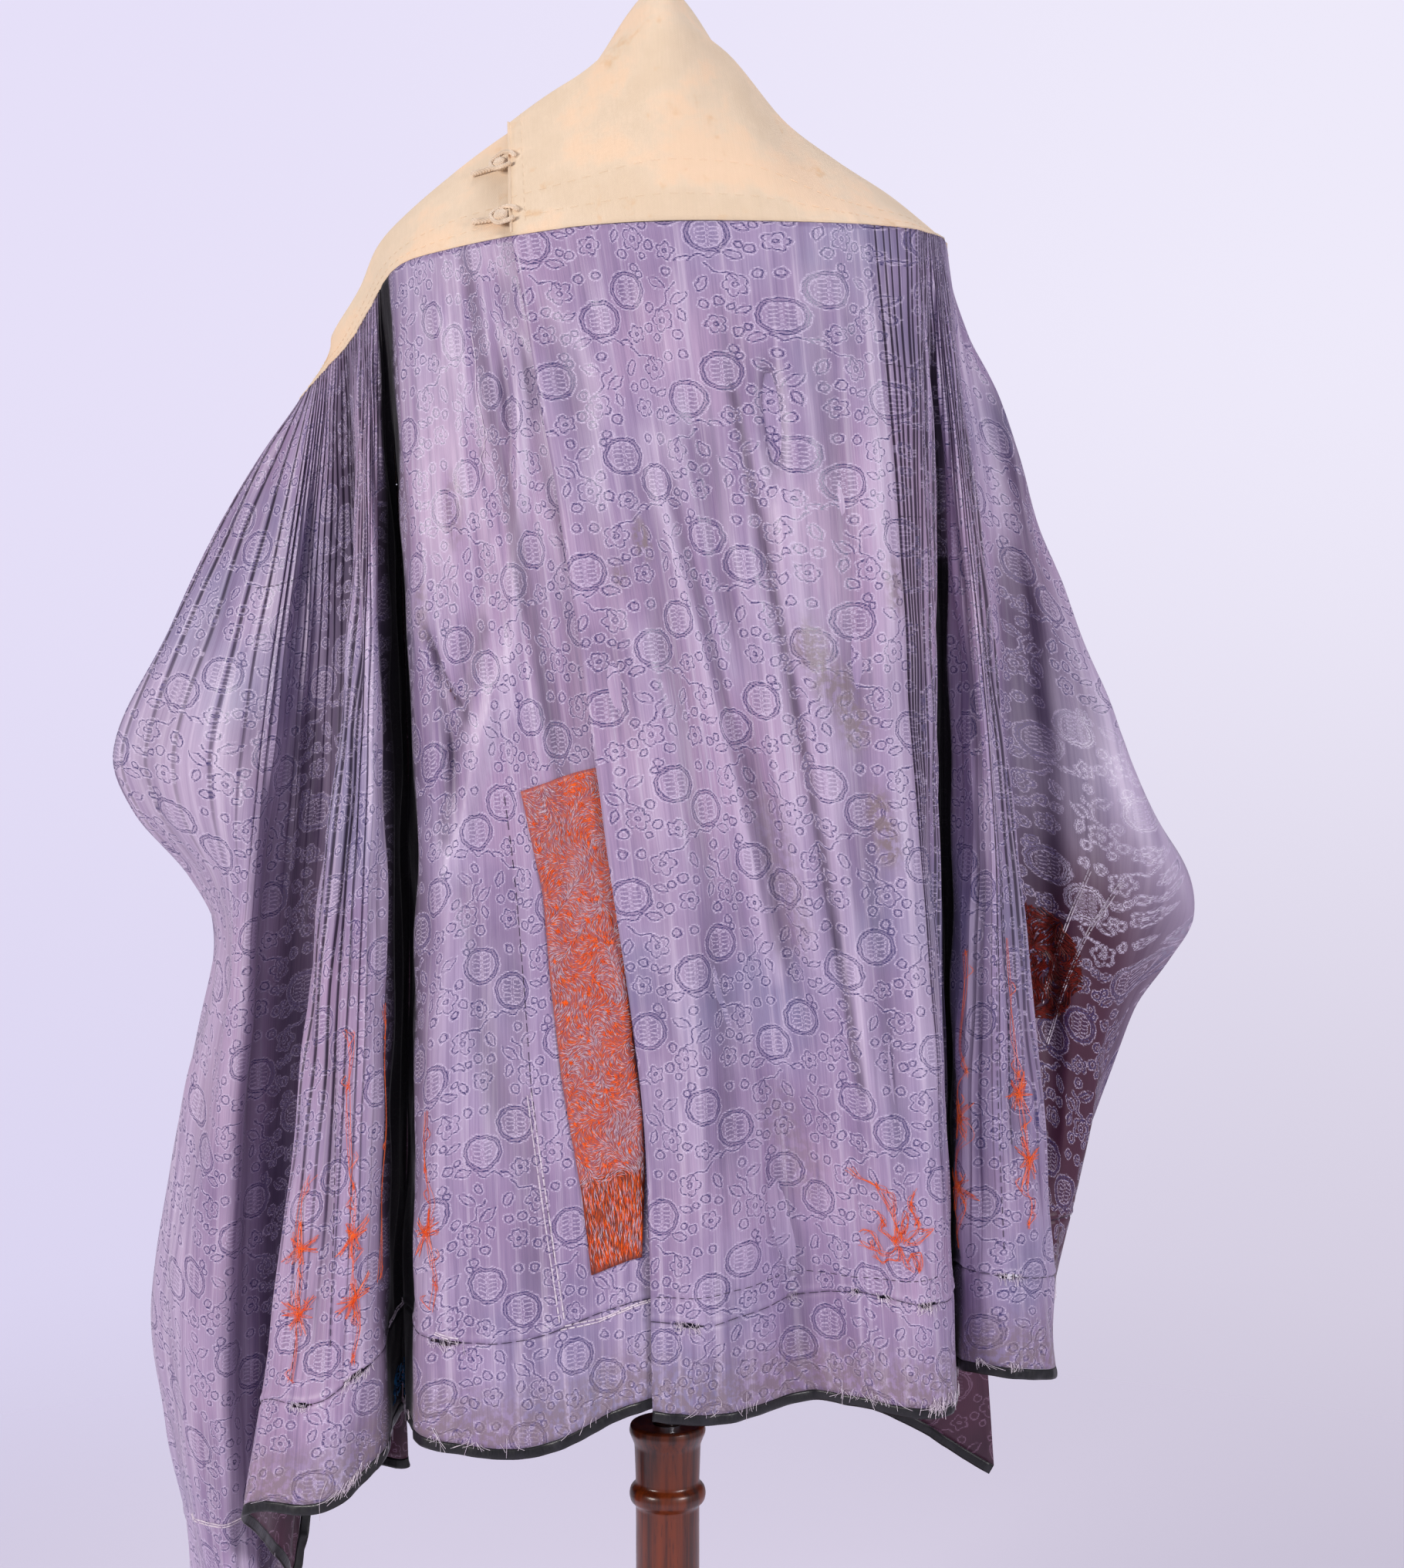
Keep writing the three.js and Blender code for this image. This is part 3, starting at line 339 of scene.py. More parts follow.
RIGHT_FACE_PANEL = (
    dict(name="valley", seam=1335, hem=545, x=(203, 240, 262, 280, 283), y=(10, 22, 40, 52, 40)),
    dict(name="front ridge", seam=1308, hem=548,
         at=(0, 0.09, 0.19, 0.35, 0.5, 0.75, 1),
         x=(199, 241, 262, 286, 303, 304, 292),
         y=(36, 26, 24, 28, 34, 46, 58)),
    dict(name="outer ridge", seam=1271, hem=550, x=(183, 292, 352, 330, 298), y=(64, 58, 52, 68, 82)),
    dict(name="free edge", seam=1214, hem=556,
         at=(0, 0.15, 0.3, 0.42, 0.5, 0.56, 0.61, 0.67, 0.8, 0.92, 1),
         x=(84, 176, 274, 349, 388, 396, 379, 354, 328, 298, 284),
         y=(103, 97, 92, 82, 66, 62, 62, 66, 78, 92, 100)),
)
FACE_PANEL_SHOWN = (
    dict(name="middle", seam=1343, hem=503, x=(-150, -129, -108, -102, -94),
         y=(-78, -121, -130, -139, -149)),
    dict(name="face edge", seam=1335, hem=504, x=(-180, -168, -152, -155, -150),
         y=(-61, -112, -128, -136, -144)),
    dict(name="turn", seam=1329, hem=506, x=(-190, -178, -167, -171, -174),
         y=(-54, -100, -118, -127, -134)),
    dict(name="groove", seam=1319, hem=508, x=(-199, -188, -184, -188, -194), y=(-45, -52, -60, -62, -65)),
)
LEFT_LOBE = (
    dict(name="lobe right", seam=1309, hem=480, x=(-205, -200, -197, -203, -210),
         y=(-38, -86, -106, -113, -116)),
    dict(name="lobe middle", seam=1298, hem=455, x=(-212, -210, -221, -234, -248),
         y=(-32, -96, -119, -126, -129)),
    dict(name="lobe left", seam=1287, hem=444, x=(-219, -222, -248, -271, -303),
         y=(-26, -76, -95, -100, -101)),
    dict(name="side groove", seam=1276, hem=356, x=(-227, -222, -238, -260, -288),
         y=(-19, -22, -18, -8, 0)),
)
LEFT_GORE = (
    dict(name="slope", seam=1262, hem=306, x=(-241, -262, -283, -296, -304), y=(-8, -2, 2, 6, 8)),
    dict(name="ridge", seam=1250, hem=288, x=(-253, -291, -314, -332, -326), y=(3, -26, -31, -27, -14)),
    dict(name="wing tip", seam=1232, hem=284,
         at=(0, 0.04, 0.09, 0.17, 0.27, 0.32, 0.37, 0.42, 0.53, 0.61, 0.72, 0.82, 0.9, 1),
         x=(-268, -297, -327, -366, -409, -396, -356, -338, -362, -376, -391, -381, -368, -362),
         y=(25, 28, 31, 35, 38, 38, 38, 36, 34, 34, 34, 30, 26, 24)),
    dict(name="behind tip", seam=1200, hem=284, x=(-266, -322, -346, -352, -340), y=(54, 80, 92, 90, 76)),
    dict(name="tail edge", seam=1184, hem=300, x=(-255, -304, -322, -322, -304),
         y=(72, 104, 120, 114, 100)),
    dict(name="behind tail", seam=1176, hem=404, x=(-236, -272, -286, -286, -276),
         y=(86, 122, 134, 128, 116)),
    dict(name="back fold", seam=1170, hem=408, x=(-212, -226, -220, -212, -206), y=(99, 118, 116, 108, 98)),
    dict(name="under fold", seam=1168, hem=425, x=(-186, -232, -238, -240, -238),
         y=(107, 136, 144, 142, 134)),
)
BACK_PANEL = (
    dict(name="left swell", seam=1177, hem=445, x=(-104, -132, -140, -141, -140),
         y=(121, 146, 156, 156, 150)),
    dict(name="hollow", seam=1195, hem=449, x=(-4, -22, -30, -31, -30), y=(125, 150, 148, 143, 138)),
    dict(name="right swell", seam=1216, hem=451, x=(92, 88, 80, 72, 66), y=(119, 146, 161, 166, 161)),
    dict(name="right hollow", seam=1231, hem=441, x=(136, 150, 160, 165, 166), y=(107, 131, 141, 141, 136)),
    dict(name="free edge", seam=1241, hem=393, x=(160, 190, 214, 240, 257), y=(98, 120, 126, 123, 121)),
)
LAYER_GAP, UNDER_HEM_RISE = 6, 8
QUARTERS = (0, 0.25, 0.5, 0.75, 1)
SILK_THICKNESS = 0.9
REFERENCE_SHARE = 0.7
PANEL_HEIGHT = 820
SEAM_SCALE, WAVE_SCALE = 830, 850
# Kinds of mark: painted shade in the folds, painted sheen, unfaded maroon dye, and stains
PAINTED_FOLD_SHADE, PAINTED_SHEEN, MAROON, STAIN = range(4)

HIDDEN_END = tuple(
    dict(line, name="under " + line["name"], hem=line["hem"] + UNDER_HEM_RISE,
         y=tuple(y + LAYER_GAP for y in line["y"]))
    for line in reversed(PLAIN_PANEL[:5])
)
OUTER_LENGTH = PLAIN_PANEL + RIGHT_GORE + RIGHT_FACE_PANEL
UNDER_LENGTH = HIDDEN_END + FACE_PANEL_SHOWN + LEFT_LOBE + LEFT_GORE + BACK_PANEL


def line_number(lines, name):
    """The number of the fold line with this name."""
    return [line["name"] for line in lines].index(name)


def across(points, places):
    """A centripetal spline through points (lines, rows, 3), read at the given places."""
    ends = np.concatenate([2 * points[:1] - points[1:2], points, 2 * points[-1:] - points[-2:-1]])
    i = np.minimum(np.floor(places).astype(int), len(points) - 2)
    w = (np.asarray(places) - i)[:, None, None]
    p0, p1, p2, p3 = (ends[i + k] for k in range(4))
    d0, d1, d2 = (((b - a) ** 2).sum(2, keepdims=True) ** 0.25
                  for a, b in ((p0, p1), (p1, p2), (p2, p3)))
    t1 = ((p1 - p0) / d0 - (p2 - p0) / (d0 + d1) + (p2 - p1) / d1) * d1
    t2 = ((p2 - p1) / d1 - (p3 - p1) / (d1 + d2) + (p3 - p2) / d2) * d1
    return p1 + w * (t1 + w * (3 * (p2 - p1) - 2 * t1 - t2 + w * (2 * (p1 - p2) + t1 + t2)))


def cloth_points(lines, places, shares):
    """Points of a length of cloth as (rows, columns, 3)."""
    shares = np.asarray(shares, float)
    down = []
    for line in lines:
        at = line.get("at", QUARTERS)
        z = line["seam"] + (line["hem"] - line["seam"]) * shares
        down.append(np.stack([through(line["x"], at, shares), through(line["y"], at, shares), z], 1))
    return across(np.array(down), np.asarray(places, float)).transpose(1, 0, 2)


def normals(points, turn):
    """Unit normals of a grid of points, on the side that turn says."""
    along = np.gradient(points, axis=1)
    down = np.gradient(points, axis=0)
    n = np.cross(along, down) * turn
    return n / np.maximum(np.linalg.norm(n, axis=2, keepdims=True), 1e-9)


def smooth_step(value, low, high):
    """0 below low, 1 above high, and a smooth rise between them."""
    f = np.clip((value - low) / (high - low), 0, 1)
    return f * f * (3 - 2 * f)


class Length:
    """One length of silk: its fold lines, the side its outer face is on, and its creases."""

    def __init__(self, lines, turn, creases, marks, seam, seed):
        self.lines, self.turn, self.creases = lines, turn, creases
        self.marks, self.seam, self.seed = marks, seam, seed
        self.fine = np.linspace(0, len(lines) - 1, 60 * (len(lines) - 1) + 1)
        row = cloth_points(lines, self.fine, [REFERENCE_SHARE])[0]
        steps = np.linalg.norm(np.diff(row, axis=0), axis=1)
        self.width = np.concatenate([[0], np.cumsum(steps)])

    def marks_at(self, places, shares):
        """Painted fold shade, painted sheen, unfaded maroon and stains, each from 0 to 1 at every point."""
        u = self.across_mm(places)[None, :]
        t = np.asarray(shares)[:, None]
        found = np.zeros((len(shares), len(places), 4), np.float32)
        for kind, start, end, half, strength in self.marks:
            (p0, t0), (p1, t1) = start, end
            f = np.clip((t - t0) / (t1 - t0), 0, 1)
            aside = u - self.across_mm(p0 + (p1 - p0) * f)
            past = (t - np.clip(t, t0, t1)) * PANEL_HEIGHT
            away = np.hypot(aside, past * 0.5) / half
            found[..., kind] = np.maximum(found[..., kind], strength * np.exp(-away ** 4))
        # Painted shade in the crease troughs and painted sheen on the crease ridges
        rise = self.rise(places, shares)
        found[..., PAINTED_FOLD_SHADE] = np.maximum(found[..., PAINTED_FOLD_SHADE], np.clip(-rise / 16, 0, 0.4))
        found[..., PAINTED_SHEEN] = np.maximum(found[..., PAINTED_SHEEN], np.clip(rise / 14, 0, 0.35))
        found[..., STAIN] = np.maximum(found[..., STAIN], 0.7 * smooth_step(t, 0.93, 0.99))
        return found

    def lay_out(self):
        """A fine grid of the creased cloth, on which threads are laid."""
        self.grid_places = self.fine[::3]
        self.grid_shares = np.linspace(0, 1, 341)
        flat = cloth_points(self.lines, self.grid_places, self.grid_shares)
        self.grid_out = normals(flat, self.turn)
        self.grid = flat + self.grid_out * self.rise(self.grid_places, self.grid_shares)[..., None]

    def on_cloth(self, place, share, lift=0.0):
        """A point that lies lift millimetres above the cloth's outer face, and the normal there."""
        x = place * 20
        y = min(max(share, 0), 1) * (len(self.grid_shares) - 1)
        i, j = min(int(x), len(self.grid_places) - 2), min(int(y), len(self.grid_shares) - 2)
        f, g = x - i, y - j
        point, out = (
            (grid[j, i] * (1 - f) + grid[j, i + 1] * f) * (1 - g)
            + (grid[j + 1, i] * (1 - f) + grid[j + 1, i + 1] * f) * g
            for grid in (self.grid, self.grid_out))
        below = np.array([0, 0, max(share - 1, 0) * PANEL_HEIGHT])
        return point + out * lift - below, out

    def trail(self, place, share, way, lift=0.4):
        """Points and normals on the cloth along a smooth way of (right, down) offsets in
        millimetres from a place."""
        way = np.array([(x, y, 0) for x, y in way], float)
        reach = np.linalg.norm(np.diff(way, axis=0), axis=1).sum()
        steps = np.linspace(0, len(way) - 1, max(3, round(reach / 1.8) + 1))
        smooth = across(way[:, None, :], steps)[:, 0]
        start = self.across_mm([place])[0]
        found = []
        for x, y, _ in smooth:
            at = float(np.interp(start - self.turn * x, self.width, self.fine))
            found.append(self.on_cloth(at, share + y / PANEL_HEIGHT, lift))
        return np.array([point for point, _ in found]), np.array([out for _, out in found])

    def across_mm(self, places):
        """Millimetres along the cloth from its first edge, where it hangs open."""
        return np.interp(places, self.fine, self.width)

    def rise(self, places, shares):
        """How far the listed creases and small waves push the cloth out, in millimetres."""
        u = self.across_mm(places)[None, :]
        t = np.asarray(shares)[:, None]
        out = np.zeros((len(shares), len(places)))
        for start, end, depth, half in self.creases:
            (p0, t0), (p1, t1) = start, end
            f = (t - t0) / (t1 - t0)
            bow = 0.02 * math.sin(7 * p0 + 3 * t0)
            centre = self.across_mm(p0 + (p1 - p0) * f + bow * np.sin(math.pi * np.clip(f, 0, 1)))
            fade = smooth_step(f, -0.02, 0.3) * (1 - smooth_step(f, 0.68, 1.02))
            out += depth * fade * np.exp(-((u - centre) / half) ** 2)
        rng = np.random.default_rng(self.seed)
        for wave in range(18):
            long, tall = rng.uniform(14, 70), rng.uniform(160, 620)
            lean, phase = rng.uniform(-0.3, 0.3), rng.uniform(0, 2 * math.pi)
            size = 0.014 * long * rng.uniform(0.5, 1.0)
            v = WAVE_SCALE * t
            out += size * np.sin(2 * math.pi * (u + lean * v) / long + phase) \
                * np.sin(2 * math.pi * v / tall + 2 * phase)
        seam = np.interp(places, *zip(*self.seam))[None, :]
        off = (t - seam) * SEAM_SCALE
        out += 0.9 * np.exp(-((off + 3.0) / 2.2) ** 2) - 1.1 * np.exp(-((off - 0.6) / 1.5) ** 2)
        off = (t - seam + 0.022) * SEAM_SCALE
        out -= 0.5 * np.exp(-(off / 1.6) ** 2)
        return out * smooth_step(t, 0.0, 0.05)


def pleat_depth(t, deep, fade):
    """Depth of the fine pleats: stitched at the waist, then open, then gone lower down."""
    stitched = 0.5 + 0.5 * np.minimum(1, t / 0.1)
    return deep * stitched * (1 - smooth_step(t, *fade))


PLEAT_SHARES = (0, 0.12, 0.3, 0.5, 0.7, 0.84, 0.92, 0.96)


def panel_grid(length, first, spans, shares, pleats, fade, side_step):
    """Outer and inner points of a panel, with its weave coordinates. spans says how many pleats
    lie between each fold line and the next, or how many plain columns where pleats is None."""
    rng = np.random.default_rng(len(spans) + first)
    columns, fullness = [], []
    for k, count in enumerate(spans):
        a, b = first + k, first + k + 1
        if pleats:
            shift = rng.uniform(-0.22, 0.22, count + 1) / count
            shift[0] = shift[-1] = 0
            for j in range(count):
                p, q = a + j / count + shift[j], a + (j + 1) / count + shift[j + 1]
                full = rng.uniform(0.55, 1.25)
                for f in PLEAT_SHARES:
                    columns.append((p + (q - p) * f, p, q, f))
                    fullness.append(full)
        else:
            n = max(2, round(float(np.diff(length.across_mm([a, b]))[0]) / side_step))
            for j in range(n):
                columns.append((a + j / n, a + j / n, a + (j + 1) / n, 0))
    last = first + len(spans)
    columns.append((last, last, last, 0))
    places, start, end, share = np.array(columns, float).T
    shares = np.asarray(shares, float)
    t = shares[:, None]
    points = cloth_points(length.lines, places, shares)
    out = normals(points, length.turn)
    rise = length.rise(places, shares)
    marks = length.marks_at(places, shares)
    if pleats:
        # Painted shade where each pleat tucks under the next
        painted_tuck_shade = 0.8 * (share > 0.9)[None, :] * (1 - smooth_step(t, *fade))
        marks[..., PAINTED_FOLD_SHADE] = np.maximum(marks[..., PAINTED_FOLD_SHADE], painted_tuck_shade)
        lap = np.where(share < 0.93, share / 0.92, (1 - share) / 0.08)[None, :]
        rise = rise - pleat_depth(t, pleats, fade) * lap * np.array(fullness + [1.0])[None, :]
        base = length.across_mm(start)[None, :]
        full = (length.across_mm(end) - length.across_mm(start))[None, :]
        seen = np.linalg.norm(cloth_points(length.lines, end, shares)
                              - cloth_points(length.lines, start, shares), axis=2)
        flap = np.minimum(seen, full)
        u = base + np.where(share < 0.93, share / 0.92 * flap,
                            flap + (full - flap) * (share - 0.92) / 0.08)
    else:
        u = np.repeat(length.across_mm(places)[None, :], len(shares), 0)
    heights = points[0, :, 2].copy()
    points = points + out * rise[:, :, None]
    points[0, :, 2] = heights
    down = np.linalg.norm(np.diff(points, axis=0), axis=2)
    v = np.concatenate([np.zeros((1, len(places))), np.cumsum(down, 0)])
    return points, points - out * SILK_THICKNESS, u, v, places, marks


def shell(name, outer, inner, turn, material, coords=None, gone=None, marks=None):
    """A closed thin wall between two grids of points, with holes where gone is true."""
    rows, columns = outer.shape[:2]
    points = np.concatenate([outer.reshape(-1, 3), inner.reshape(-1, 3)])
    kept = np.ones((rows - 1, columns - 1), bool) if gone is None else ~gone
    at = np.arange(rows * columns).reshape(rows, columns)
    back = rows * columns
    a, b, c, d = at[:-1, :-1][kept], at[1:, :-1][kept], at[1:, 1:][kept], at[:-1, 1:][kept]
    front = np.stack([a, b, c, d], 1)
    sides = []
    padded = np.zeros((rows + 1, columns + 1), bool)
    padded[1:-1, 1:-1] = kept
    up = kept & ~padded[:-2, 1:-1]
    below = kept & ~padded[2:, 1:-1]
    left = kept & ~padded[1:-1, :-2]
    right = kept & ~padded[1:-1, 2:]
    for edge, p, q in (
        (up, at[:-1, 1:], at[:-1, :-1]), (below, at[1:, :-1], at[1:, 1:]),
        (left, at[:-1, :-1], at[1:, :-1]), (right, at[1:, 1:], at[:-1, 1:]),
    ):
        p, q = p[edge], q[edge]
        sides.append(np.stack([p, p + back, q + back, q], 1))
    faces = np.concatenate([front, front[:, ::-1] + back, *sides])
    if turn > 0:
        faces = faces[:, ::-1]
    used = np.zeros(len(points), bool)
    used[faces.ravel()] = True
    number = np.cumsum(used) - 1
    made = new_object(name, points[used], number[faces].tolist(), material)
    if coords is not None:
        u, v = coords
        cloth = np.zeros((len(points), 3), np.float32)
        cloth[:, 0] = np.tile(u.ravel(), 2)
        cloth[:, 1] = np.tile(v.ravel(), 2)
        cloth[back:, 2] = 1
        weave = made.data.attributes.new("weave_mm", "FLOAT_VECTOR", "POINT")
        weave.data.foreach_set("vector", cloth[used].ravel())
    # Per point: painted fold shade, painted sheen, unfaded maroon and stains
    if marks is not None:
        wear_and_painted_light = made.data.attributes.new("wear_and_painted_light", "FLOAT_COLOR", "POINT")
        wear_and_painted_light.data.foreach_set("color", np.tile(marks.reshape(-1, 4), (2, 1))[used].ravel())
    return made


# The damask repeat in millimetres: pairs of key-fret roundels in half-drop rows, with plum
# blossoms, buds, leaves and twigs between them. Lines step with the threads of the weave.
REPEAT_WIDTH, ROW_STEP = 118, 57
ROUNDELS = ((-11.5, -9.5), (11.5, 9.5))
BLOSSOMS = ((-37, 12, 8), (34, -12, 8), (48, 15, 6.5), (-14, 21, 6))
BUDS = ((-25, 17, 3.0), (-28, 3, 2.8), (-47, 22, 3.2), (21, -20, 2.8), (45, -1, 3.0),
        (35, 20, 3.0), (10, -21, 2.6), (-20, -25, 2.8), (54, 1, 2.6), (-23, -20, 2.2), (38, 3, 2.3),
        (29, 17, 2.2), (-44, -22, 2.6), (-31, 24, 2.2))
LEAVES = ((-50, -3, 40, 7), (-36, -14, -30, 6.5), (54, -13, 65, 6), (25, 24, 15, 6),
          (-4, 27, -10, 5), (-51, 9, -70, 5), (31, 5, 20, 5))
TWIGS = ((-42, -4, 62, 12), (42, -21, -25, 11), (8, 25, -8, 10))


def silk_damask():
    """Silk damask, faded lilac outside: soft vertical streaks, partly from uneven floss and partly a
    painted sheen, and figures whose longer floats look dark, with a painted highlight beside them.
    Painted shade darkens the folds, painted sheen lightens ridges and broad patches, and the figures
    turn pale in both. The face side is maroon. The figure steps by 0.7 by 1 mm, coarser than real
    silk threads, so that it shows."""
    material, tree = new_material("silk_damask")
    weave = add(tree, "Attribute", out=1, attribute_name="weave_mm")
    bend_space = add(tree, "VectorMath", (weave, (1 / 4.5, 1 / 4.5, 1.0)), operation="MULTIPLY")
    bend = add(tree, "TexNoise", {0: bend_space, 2: 1.0, 3: 1.0}, out=1)
    bent = add(tree, "VectorMath", (bend, (3.0, 3.0, 0.0), weave), operation="MULTIPLY_ADD")
    stepped = add(tree, "VectorMath", (bent, (0.7, 1.0, 1.0)), operation="SNAP")
    flat = add(tree, "SeparateXYZ", (stepped,)).node
    u, v, side = flat.outputs
    row = add(tree, "Math", (v, ROW_STEP / 2), operation="ADD")
    row = add(tree, "Math", (row, ROW_STEP), operation="DIVIDE")
    row = add(tree, "Math", (row,), operation="FLOOR")
    moved = add(tree, "Math", (row, REPEAT_WIDTH / 2, u), operation="MULTIPLY_ADD")
    x = add(tree, "Math", (moved, REPEAT_WIDTH / 2, -REPEAT_WIDTH / 2), operation="WRAP")
    y = add(tree, "Math", (v, ROW_STEP / 2, -ROW_STEP / 2), operation="WRAP")
    pair = add(tree, "Math", (row, 0.5, 0.5), operation="MULTIPLY_ADD")
    pair = add(tree, "Math", (pair,), operation="FLOOR")
    pair = add(tree, "Math", (pair, 2.0), operation="MODULO")
    turn = add(tree, "Math", (pair, -2.0, 1.0), operation="MULTIPLY_ADD")
    x = add(tree, "Math", (x, turn), operation="MULTIPLY")
    cell = add(tree, "CombineXYZ", (x, y))
    lines = []
    for centre in ROUNDELS:
        p = add(tree, "VectorMath", (cell, (*centre, 0)), operation="SUBTRACT")
        r = add(tree, "VectorMath", (p,), out=1, operation="LENGTH")
        for radius in (12.7, 10.9):
            off = add(tree, "Math", (r, radius), operation="SUBTRACT")
            lines.append(add(tree, "Math", (off,), operation="ABSOLUTE"))
        px, py, _ = add(tree, "SeparateXYZ", (p,)).node.outputs
        bars = add(tree, "Math", (py, 1.5, -1.5), operation="WRAP")
        bars = add(tree, "Math", (bars,), operation="ABSOLUTE")
        beside = add(tree, "Math", (px,), operation="ABSOLUTE")
        beside = add(tree, "Math", (beside, 3.8), operation="SUBTRACT")
        beside = add(tree, "Math", (beside,), operation="ABSOLUTE")
        outside = add(tree, "Math", (beside, 2.4), operation="SUBTRACT")
        outside = add(tree, "Math", (outside, 0.0), operation="MAXIMUM")
        beyond = add(tree, "Math", (r, 8.6), operation="SUBTRACT")
        beyond = add(tree, "Math", (beyond, 0.0), operation="MAXIMUM")
        bars = add(tree, "Math", (bars, outside), operation="ADD")
        lines.append(add(tree, "Math", (bars, beyond), operation="ADD"))
    for bx, by, radius in BLOSSOMS:
        p = add(tree, "VectorMath", (cell, (bx, by, 0)), operation="SUBTRACT")
        r = add(tree, "VectorMath", (p,), out=1, operation="LENGTH")
        px, py, _ = add(tree, "SeparateXYZ", (p,)).node.outputs
        angle = add(tree, "Math", (py, px), operation="ARCTAN2")
        petal = add(tree, "Math", (angle, 2.5), operation="MULTIPLY")
        petal = add(tree, "Math", (petal,), operation="COSINE")
        petal = add(tree, "Math", (petal,), operation="ABSOLUTE")
        edge = add(tree, "Math", (petal, 0.32 * radius, 0.68 * radius), operation="MULTIPLY_ADD")
        off = add(tree, "Math", (r, edge), operation="SUBTRACT")
        lines.append(add(tree, "Math", (off,), operation="ABSOLUTE"))
        off = add(tree, "Math", (r, 0.2 * radius), operation="SUBTRACT")
        lines.append(add(tree, "Math", (off,), operation="ABSOLUTE"))
    for bx, by, radius in BUDS:
        p = add(tree, "VectorMath", (cell, (bx, by, 0)), operation="SUBTRACT")
        r = add(tree, "VectorMath", (p,), out=1, operation="LENGTH")
        off = add(tree, "Math", (r, radius), operation="SUBTRACT")
        lines.append(add(tree, "Math", (off,), operation="ABSOLUTE"))
    for number, (bx, by, lean, half) in enumerate(LEAVES + TWIGS):
        c, s = math.cos(math.radians(lean)), math.sin(math.radians(lean))
        p = add(tree, "VectorMath", (cell, (bx, by, 0)), operation="SUBTRACT")
        along = add(tree, "VectorMath", (p, (c, s, 0)), out=1, operation="DOT_PRODUCT")
        aside = add(tree, "VectorMath", (p, (-s, c, 0)), out=1, operation="DOT_PRODUCT")
        if number < len(LEAVES):
            share = add(tree, "Math", (along, half), operation="DIVIDE")
            share = add(tree, "Math", (share, 2.0), operation="POWER")
            edge = add(tree, "Math", (share, -0.45 * half, 0.45 * half), operation="MULTIPLY_ADD")
            aside = add(tree, "Math", (aside,), operation="ABSOLUTE")
            off = add(tree, "Math", (aside, edge), operation="SUBTRACT")
            lines.append(add(tree, "Math", (off,), operation="ABSOLUTE"))
        else:
            sway = add(tree, "Math", (along, 0.45), operation="MULTIPLY")
            sway = add(tree, "Math", (sway,), operation="SINE")
            off = add(tree, "Math", (sway, -1.5, aside), operation="MULTIPLY_ADD")
            off = add(tree, "Math", (off,), operation="ABSOLUTE")
            past = add(tree, "Math", (along,), operation="ABSOLUTE")
            past = add(tree, "Math", (past, half), operation="SUBTRACT")
            past = add(tree, "Math", (past, 0.0), operation="MAXIMUM")
            lines.append(add(tree, "Math", (off, past), operation="ADD"))
    nearest = lines[0]
    for line in lines[1:]:
        nearest = add(tree, "Math", (nearest, line), operation="MINIMUM")
    figure = add(tree, "MapRange", (nearest, 0.15, 0.68, 1.0, 0.0), **SMOOTH)
    # The band just beside each figure line, where a painted highlight goes
    beside = add(tree, "MapRange", (nearest, 0.7, 1.1, 0.0, 1.0), **SMOOTH)
    beyond = add(tree, "MapRange", (nearest, 1.3, 2.0, 1.0, 0.0), **SMOOTH)
    painted_halo = add(tree, "Math", (beside, beyond), operation="MULTIPLY")

    slub_space = add(tree, "VectorMath", (weave, (1 / 0.9, 1 / 70, 1.0)), operation="MULTIPLY")
    slub = add(tree, "TexNoise", {0: slub_space, 2: 1.0, 3: 3.0, 4: 0.6})
    streak_space = add(tree, "VectorMath", (weave, (1 / 6, 1 / 240, 1.0)), operation="MULTIPLY")
    streak = add(tree, "TexNoise", {0: streak_space, 2: 1.0, 3: 5.0, 4: 0.6})
    cloud_space = add(tree, "VectorMath", (weave, (1 / 90, 1 / 130, 3.0)), operation="MULTIPLY")
    cloud = add(tree, "TexNoise", {0: cloud_space, 2: 1.0, 3: 5.0, 4: 0.55})
    grain_space = add(tree, "VectorMath", (weave, (1 / 1.3, 1 / 0.9, 1.0)), operation="MULTIPLY")
    grain = add(tree, "TexNoise", {0: grain_space, 2: 1.0, 3: 2.0})
    place = add(tree, "TexCoord", out=3)
    patch = add(tree, "TexNoise", {0: place, 2: 5.0, 3: 4.0, 4: 0.5})
    # Base tone that differs at random; the light and dark vertical streaks are partly uneven floss and
    # partly a painted sheen. Further down, worn also takes on painted sheen and painted shade.
    worn = linear("#8F789C")
    for source, low, high, most, code in (
        (cloud, 0.36, 0.66, 1.0, "#A491B3"), (patch, 0.5, 0.66, 0.8, "#AE92B2"),
        (patch, 0.5, 0.36, 0.75, "#7F7C9F"), (streak, 0.5, 0.68, 0.75, "#C0B0C8"),
        (streak, 0.47, 0.3, 0.65, "#786589"), (slub, 0.4, 0.7, 0.4, "#72608A"),
    ):
        share = add(tree, "MapRange", (source, low, high, 0.0, most), **SMOOTH)
        worn = add(tree, "Mix", {0: share, 6: worn, 7: linear(code)}, **BLEND)
    # Painted fold shade, painted sheen, unfaded maroon and stains, read per point
    wear_and_painted_light = add(tree, "Attribute", attribute_name="wear_and_painted_light").node
    fold, painted_sheen_share, unfaded = add(tree, "SeparateXYZ", (wear_and_painted_light.outputs[1],)).node.outputs
    stain = wear_and_painted_light.outputs[3]
